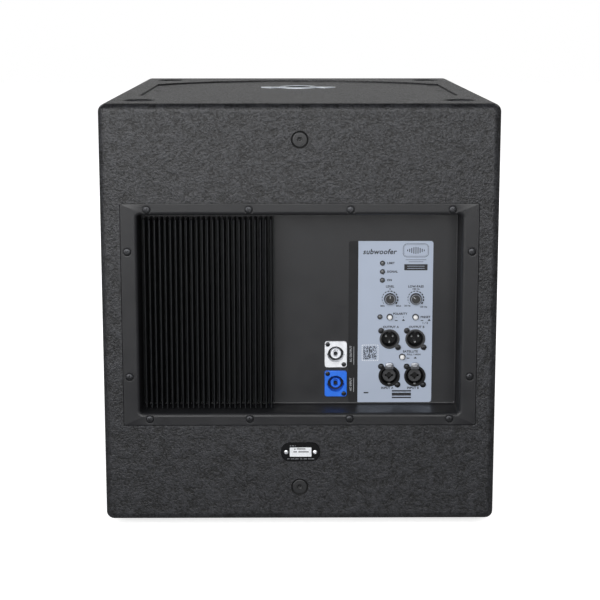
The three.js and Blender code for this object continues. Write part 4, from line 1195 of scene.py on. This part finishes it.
def knob(name):
    """A low knob: fluted dark skirt, a pale ring that is a painted highlight of its lit top edge, grained cap
    and a short pointer.
    """
    x, z = AXES[name]
    face, back = low(name).y, LABEL_FACE - 0.7
    radius, cap, flutes, segments = 7.0, 4.9, 24, 96

    def fluted(reach, depth, y):
        outline = []
        for i in range(segments):
            angle = 2 * math.pi * i / segments
            r = reach - depth * (0.5 + 0.5 * math.cos(flutes * angle)) ** 2
            outline.append((r * math.cos(angle), r * math.sin(angle)))
        return face_loop(outline, y, x, z)

    skirt = loft("skirt", [
        fluted(3, 0, back), fluted(radius - 0.4, 0, back), fluted(radius, 0.3, back - 0.4),
        fluted(radius - 0.1, 0.3, back - (back - face) * 0.45), fluted(radius - 0.6, 0.2, face + 0.25),
        fluted(radius - 1.1, 0, face), fluted(radius - 1.15, 0, face + 0.4), fluted(cap + 0.1, 0, face + 0.4),
        fluted(cap + 0.1, 0, face + 0.7), fluted(0.2, 0, face + 0.7),
    ])
    body = gather(f"{name}_skirt", [skirt, rod("shaft", 3, back - 0.5, high(name).y, x, z, 24)])
    piece(body, KNOB_PLASTIC, body=name, replaces=(name,))
    top = [
        (0, face + 0.1), (cap - 0.5, face + 0.1), (cap - 0.1, face + 0.35), (cap, face + 0.7),
        (0, face + 0.7),
    ]
    piece(turned(f"{name}_top", top, x, z, 64), CAP_PLASTIC, body=name)
    outline = rounded_outline(0.9, 3.0, 0.3, 3)
    pointer = face_plate(f"{name}_pointer", outline, face + 0.02, face + 0.3, 0, 2.3)
    piece(place_at(pointer, x, z, POINTER[name]), POINTER_INK, body=name)
    # Painted highlight: a pale ring round the cap stands for the knob's top edge catching the light.
    ring = [(5.0, face + 0.45), (5.05, face + 0.08), (5.75, face + 0.04), (5.8, face + 0.45)]
    piece(turned(f"{name}_ring", ring, x, z, 64), RIM_HIGHLIGHT_PLASTIC, body=name)


POINTER = {"level_knob": 0.0, "low_pass_knob": -math.pi / 4}


def dome(radius, rise, face, steps=6):
    """Profile of a dome, from its top on the axis to its rim."""
    angles = [math.pi / 2 * i / steps for i in range(steps + 1)]
    return [(radius * math.sin(a), face + rise * (1 - math.cos(a))) for a in angles]


def button(name):
    """A white domed cap in a black collar."""
    x, z = AXES[name]
    radius, back = 2.7, high(name).y
    cap = dome(radius, 1.6, low(name).y) + [(radius, back), (0, back)]
    piece(turned(f"{name}_cap", cap, x, z, 40), BUTTON_PLASTIC, body=name, replaces=(name,))
    inner, outer, rise = radius + 0.15, radius + 0.95, LABEL_FACE - 1.6
    collar = [
        (inner, PANEL_FACE), (inner, rise + 0.3), (inner + 0.25, rise), (outer - 0.2, rise),
        (outer, rise + 0.3), (outer, PANEL_FACE),
    ]
    piece(turned(f"{name}_collar", collar, x, z, 40), KNOB_PLASTIC)


def indicator(name):
    """A domed lens in a dark bezel."""
    x, z = AXES[name]
    radius, back = 2.2, high(name).y
    glass = dome(radius, 0.9, low(name).y + 0.5) + [(radius, back), (0, back)]
    piece(turned(f"{name}_lens", glass, x, z, 32), LENS, replaces=(name,))
    rim = [(2.3, 0.2), (2.3, -1.1), (2.5, -1.3), (2.85, -0.9), (3.0, -0.2), (3.0, 0.2)]
    bezel = [(r, LABEL_FACE + y) for r, y in rim]
    piece(turned(f"{name}_bezel", bezel, x, z, 40), KNOB_PLASTIC)


CONNECTOR_FACE = LABEL_FACE - 1.2


def connector_plate(name, radius, ears, body_radius, x, z):
    """Round front plate with two round screw bosses, softened edges, and the round body behind it."""
    front = CONNECTOR_FACE

    def disc(reach, u=0, v=0, segments=64):
        profile = [(0, LABEL_FACE), (reach, LABEL_FACE), (reach, front + 0.4), (reach - 0.12, front + 0.12)]
        return turned(f"{name}_shell", profile + [(reach - 0.4, front), (0, front)], x + u, z + v, segments)

    webs = []
    for u, v in ears:
        web = block("web", (0, front + 0.05, -1.9), (math.hypot(u, v), LABEL_FACE, 1.9))
        webs.append(place_at(web, x, z, -math.atan2(v, u)))
    barrel = rod("barrel", body_radius, front + 0.6, high(name).y, x, z, 48)
    return fuse(disc(radius), *[disc(3.5, u, v, 32) for u, v in ears], *webs, barrel)


def xlr_output(side):
    """Three-pin output: a stepped collar round a deep cup, with three bright pins."""
    name, front = f"xlr_output_{side}", CONNECTOR_FACE
    x, z = AXES[name]
    ears = [(-9.9, 9.9), (9.9, -9.9)]
    shell = connector_plate(name, 11.6, ears, 10.6, x, z)
    floor = front + 14.5
    cup = [(0, front - 5), (9.9, front - 5), (9.9, front), (9.3, front + 0.6), (9.3, floor), (0, floor)]
    step = [(10.0, front - 1), (11.1, front - 1), (11.1, front + 0.25), (10.0, front + 0.25)]
    carve(shell, turned("cup", cup, x, z, 64), turned("step", step, x, z, 64))
    fuse(shell, block("key", (x - 1.2, front + 1.5, z + 7.9), (x + 1.2, floor + 1, z + 9.6)))
    piece(shell, CONNECTOR_PLASTIC, replaces=(name,))
    # The insert is a real part, but it is made near-black, darker than the shell, as painted shade inside the
    # cup.
    shaded_insert = [
        (8.8, front + 1.6), (8.7, floor - 0.6), (0, floor - 0.6), (0, floor - 0.02), (9.25, floor - 0.02),
        (9.25, front + 1.2),
    ]
    piece(turned(f"{name}_insert", shaded_insert, x, z, 64), BLACK_PLASTIC_AND_SHADE)
    tip = floor - 9.5
    pin = [
        (0, tip), (0.7, tip + 0.12), (1.1, tip + 0.6), (1.2, tip + 1.2), (1.2, floor + 0.3), (0, floor + 0.3),
    ]
    angles = [math.radians(degrees) for degrees in (30, 150, 270)]
    pins = [turned("pin", pin, x + 4.6 * math.cos(a), z + 4.6 * math.sin(a), 20) for a in angles]
    piece(gather(f"{name}_pins", pins), NICKEL)
    screws(f"{name}_screws", 2.5, 1.2, [(x + u, front, z + v) for u, v in ears], DARK_STEEL)


def combo_input(side):
    """Combined input: a groove for a round plug about an island with a jack hole that contact holes widen."""
    name, front = f"combo_input_{side}", CONNECTOR_FACE
    x, z = AXES[name]
    ears = [(-9.7, 11.4), (9.7, -10.4)]
    shell = connector_plate(name, 12.55, ears, 11.5, x, z)
    mouth = [
        (0, front - 5), (10.5, front - 5), (10.5, front), (9.8, front + 0.7), (9.8, front + 11.7),
        (0, front + 11.7),
    ]
    latch_low, latch_high = low(f"combo_latch_{side}"), high(f"combo_latch_{side}")
    slot = block(
        "slot", (latch_low.x - 0.4, front - 5, latch_low.z - 0.35),
        (latch_high.x + 0.4, latch_high.y + 3, z + 14),
    )
    carve(shell, turned("mouth", mouth, x, z, 64), slot)
    top = front + 4.8

    def pierced(part, profile, depth):
        body = turned(f"{name}_{part}", profile, x, z, 48)
        spots = ((-3.9, 0), (3.9, 0), (0, -3.4), (0, 2.6))
        holes = [rod("hole", 1.3, top - 2, top + depth, x + u, z + v, 16) for u, v in spots]
        return carve(body, *holes)

    ring = [(3.3, top - 0.02), (7.5, top - 0.02), (7.7, top + 0.3), (3.3, top + 0.3)]
    face = pierced("island_face", ring, 2)
    piece(face, CONNECTOR_PLASTIC, angle=40)
    # Painted shade: below the grey face the island is near-black, so that its holes look dark inside.
    island = pierced("island", [
        (0, front + 12), (8, front + 12), (8, top + 0.8), (7.75, top + 0.32), (3.3, top + 0.32),
        (3.2, front + 11.8), (0, front + 11.8),
    ], 6)
    piece(island, BLACK_PLASTIC_AND_SHADE, angle=40)
    piece(shell, BLACK_PLASTIC_AND_SHADE, replaces=(name,), angle=40)
    # Painted shade: a near-black floor deep in the jack hole.
    floor = rod(f"{name}_bore_shade_floor", 3.15, top + 3, top + 5, x, z)
    piece(floor, BLACK_PLASTIC_AND_SHADE)
    contact = block(f"{name}_contact", (x - 1.4, front + 0.9, z - 9.7), (x + 1.4, front + 6, z - 9.0))
    piece(contact, NICKEL)
    screws(f"{name}_screws", 2.5, 1.2, [(x + u, front, z + v) for u, v in ears], DARK_STEEL)


def combo_latch(side):
    """Plated tab with a square foot, an arched top and a raised, ribbed thumb pad."""
    name = f"combo_latch_{side}"
    centre, size, front = middle(name), size_of(name), low(name).y

    def ring(inset, y, drop=0.0, steps=14):
        across, tall = size.x - 2 * inset, size.z - 2 * inset - drop
        arch = [(-across / 2, -tall / 2), (across / 2, -tall / 2)]
        for i in range(steps + 1):
            angle = math.pi * i / steps
            arch.append((across / 2 * math.cos(angle), tall * (0.5 * math.sin(angle) ** 0.6)))
        return face_loop(arch, y, centre.x, centre.z + drop / 2)

    tab = loft(f"{name}_tab", [
        ring(0, high(name).y), ring(0, front + 2.0), ring(0.15, front + 1.5), ring(0.6, front + 1.1),
        ring(1.5, front + 0.9, 0.4), ring(1.9, front + 0.3, 0.6), ring(2.3, front, 0.8),
    ])
    grooves = []
    for dz in (-0.9, 0.2, 1.3):
        corner = (centre.x - 2.2, front - 1, centre.z + dz)
        grooves.append(block("groove", corner, (centre.x + 2.2, front + 0.25, centre.z + dz + 0.4)))
    carve(tab, *grooves)
    piece(tab, LATCH_METAL, body=name, replaces=(name,), angle=40)


def power_socket(name, material):
    """Locking mains socket: square flange, a keyed groove and an island with a hole for its contact."""
    x, z = AXES[name]
    front, back = low(name).y, high(name).y
    rims = [(0, PANEL_FACE), (0, front + 0.6), (0.18, front + 0.18), (0.6, front)]
    flange = loft(f"{name}_body", [face_loop(node_outline(name, -inset, 2.8), y, x, z) for inset, y in rims])
    fuse(flange, rod("barrel", 11.8, front + 1, back, x, z, 48))
    ears = [(-9.5, 12), (9.5, -12)]
    groove = [
        (0, front - 4), (9.9, front - 4), (9.9, front), (9.45, front + 0.5), (9.45, front + 12),
        (0, front + 12),
    ]
    notch = block("notch", (x - 10.3, front - 4, z - 1.3), (x + 10.3, front + 8, z + 1.3))
    wells = [rod("well", 3.0, front - 4, front + 1.1, x + u, z + v, 28) for u, v in ears]
    carve(flange, turned("groove", groove, x, z, 64), notch, *wells)
    top = front + 5
    rounding = [(0, front + 12.5), (6.15, front + 12.5), (6.15, top + 0.7), (5.6, top), (0, top)]
    island = turned("island", rounding, x, z, 48)
    carve(island, face_plate("cut", rounded_outline(5.2, 8.8, 2.2), top - 2, top + 6, x, z + 0.6))
    piece(gather(f"{name}_body", [flange, island]), material, replaces=(name,), angle=40)
    contact = [(0, top + 3), (1.6, top + 3), (2.0, top + 3.8), (2.0, top + 6.5), (0, top + 6.5)]
    piece(turned(f"{name}_contact", contact, x, z - 1, 24), DARK_STEEL)
    # Painted shade: a dark ring on the groove's floor, in a plastic darker than the socket.
    floor = [(6.3, front + 11.2), (9.3, front + 11.2), (9.3, front + 11.95), (6.3, front + 11.95)]
    piece(turned(f"{name}_groove_shade_floor", floor, x, z, 48), KNOB_PLASTIC)
    places = [(x + u, front + 1.1, z + v) for u, v in ears]
    screws(f"{name}_screws", 2.6, 1.4, places, DARK_STEEL)


# ------------------------------------------------------------ inside


def inner_materials():
    """Materials of the CAD nodes that are shown as they are, inside the box or behind the grille."""
    looks = {
        COATING: ["front_baffle"],
        PLYWOOD: [f"port_board_{i}" for i in (1, 2, 3, 4)] + ["side_brace", "height_brace"],
        RUBBER: ["amp_gasket", "woofer_gasket", "speaker_cable", "woofer_surround"],
        ZINC: ["amp_rear_cover"],
        BOARD: ["amp_board", "power_board", "control_board"],
        WINDING: ["transformer"],
        BASKET_PAINT: ["woofer_basket"],
        FERRITE: ["woofer_magnet"],
        CONE: ["woofer_cone", "dust_cap"],
        SPIDER_CLOTH: ["woofer_spider"],
        COPPER: ["voice_coil"],
    }
    for material, names in looks.items():
        for name in names:
            node = frame["nodes"][name]
            node.data.materials.clear()
            node.data.materials.append(material)


# ------------------------------------------------------------ studio


def studio_floor():
    """A pale floor that glows evenly and lights nothing else, so that only a soft shadow shows on it."""
    size = 9000
    floor = loft("studio_floor", [
        [(-size, -size, z), (size, -size, z), (size, size, z), (-size, size, z)] for z in (-30, -0.4)
    ])
    material = bpy.data.materials.new("studio_floor")
    material.use_nodes = True
    shader = material.node_tree.nodes["Principled BSDF"]
    shader.inputs["Base Color"].default_value = (0.8, 0.8, 0.8, 1)
    shader.inputs["Roughness"].default_value = 0.9
    shader.inputs["Specular IOR Level"].default_value = 0.0
    shader.inputs["Emission Color"].default_value = (1, 1, 1, 1)
    shader.inputs["Emission Strength"].default_value = 0.72
    floor.data.materials.append(material)
    floor.visible_diffuse = False
    floor.visible_glossy = False
    floor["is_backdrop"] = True
    return floor


def floor_light(floor):
    """A wide sun that lights the floor alone, to keep it white as far as it goes."""
    sun = bpy.data.lights.new("floor_sun", "SUN")
    sun.energy = 1.3
    sun.angle = math.radians(100)
    only_floor = bpy.data.collections.new("only_floor")
    only_floor.objects.link(floor)
    add_object("floor_sun", sun).light_linking.receiver_collection = only_floor


def lamp(name, place, target, width, height, radiance):
    """A soft rectangular lamp, in metres, that looks at a point and is as bright as its radiance says."""
    light = bpy.data.lights.new(name, "AREA")
    light.shape = "RECTANGLE"
    light.size = width
    light.size_y = height
    light.energy = radiance * math.pi * width * height
    obj = add_object(name, light)
    obj.location = place
    obj.rotation_euler = (Vector(target) - Vector(place)).to_track_quat("-Z", "Y").to_euler()
    obj.visible_camera = False


def sky():
    """White to the camera, and to the box a dim room: pale low down, dark overhead."""
    world = bpy.data.worlds.new("studio")
    world.use_nodes = True
    tree = world.node_tree
    background = tree.nodes["Background"]
    background.inputs["Color"].default_value = (1, 1, 1, 1)
    direction = tree.nodes.new("ShaderNodeTexCoord")
    split = tree.nodes.new("ShaderNodeSeparateXYZ")
    tree.links.new(direction.outputs["Generated"], split.inputs[0])
    room = tree.nodes.new("ShaderNodeMapRange")
    for socket, number in zip(("From Min", "From Max", "To Min", "To Max"), (0.12, 0.5, 0.20, 0.02)):
        room.inputs[socket].default_value = number
    tree.links.new(split.outputs["Z"], room.inputs["Value"])
    rays = tree.nodes.new("ShaderNodeLightPath")
    pick = tree.nodes.new("ShaderNodeMix")
    tree.links.new(rays.outputs["Is Camera Ray"], pick.inputs[0])
    tree.links.new(room.outputs["Result"], pick.inputs[2])
    pick.inputs[3].default_value = 1.0
    tree.links.new(pick.outputs[0], background.inputs["Strength"])
    bpy.context.scene.world = world


def studio():
    floor_light(studio_floor())
    sky()
    lamp("front_softbox", (-0.55, -2.3, 1.12), (0, -0.27, 0.35), 3.5, 1.9, 3.55)
    lamp("left_softbox", (-3.2, -0.9, 1.5), (0, 0, 0.3), 1.2, 1.4, 1.3)
    lamp("right_softbox", (3.2, -0.9, 1.5), (0, 0, 0.3), 1.2, 1.4, 1.1)
    lamp("far_left_softbox", (-2.3, 2.6, 2.6), (0, 0.2, 0.25), 1.4, 1.4, 3.2)
    lamp("far_right_softbox", (2.3, 2.6, 2.6), (0, 0.2, 0.25), 1.4, 1.4, 3.2)
    lamp("backdrop_glow", (0, 3.4, 1.0), (0, 0, 0.4), 5.0, 1.4, 0.46)
    bpy.context.scene.view_settings.view_transform = "Standard"


def camera():
    """Close behind the box and a little above it, with a small shift that keeps edges nearly upright."""
    data = bpy.data.cameras.new("camera")
    data.sensor_width = 36
    data.lens = 84.1
    data.shift_y = -0.12
    obj = add_object("camera", data)
    obj.location = (-0.00987, REAR * MM - 1.555, 0.5999)
    obj.rotation_euler = (math.pi / 2 - 0.1583, 0, -0.0065)
    bpy.context.scene.camera = obj


def build():
    camera()
    studio()
    cabinet_shell()
    top_plate()
    level_screws("top_plate_screws", 4.2, 1.5, top_screw_places(), high("top_plate").z - 1.3, DARK_STEEL)
    pole_socket()
    rubber_feet()
    for name, side in HANDLES.items():
        bar_handle(name, side)
    nameplate()
    rigging_bolts()
    front_grille()
    grille_foam()
    amp_tray()
    screws("amp_frame_screws", 4.3, 2.0, frame_screw_places(), DARK_STEEL)
    heat_sink()
    label_film()
    label_print()
    for name in KNOBS:
        knob(name)
    for name in BUTTONS:
        button(name)
    for name in INDICATORS:
        indicator(name)
    for side in "ab":
        xlr_output(side)
        combo_input(side)
        combo_latch(side)
    power_socket("ac_output_socket", WHITE_PLASTIC)
    power_socket("ac_input_socket", BLUE_PLASTIC)
    inner_materials()


build()


def write_size():
    """Puts the CAD's box and the visual model's box side by side, and keeps neither."""
    as_lists = lambda bounds: [[round(v, 6) for v in corner] for corner in bounds]
    {"cad": as_lists(cad_bounds), "visual": as_lists(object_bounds())}


write_size()
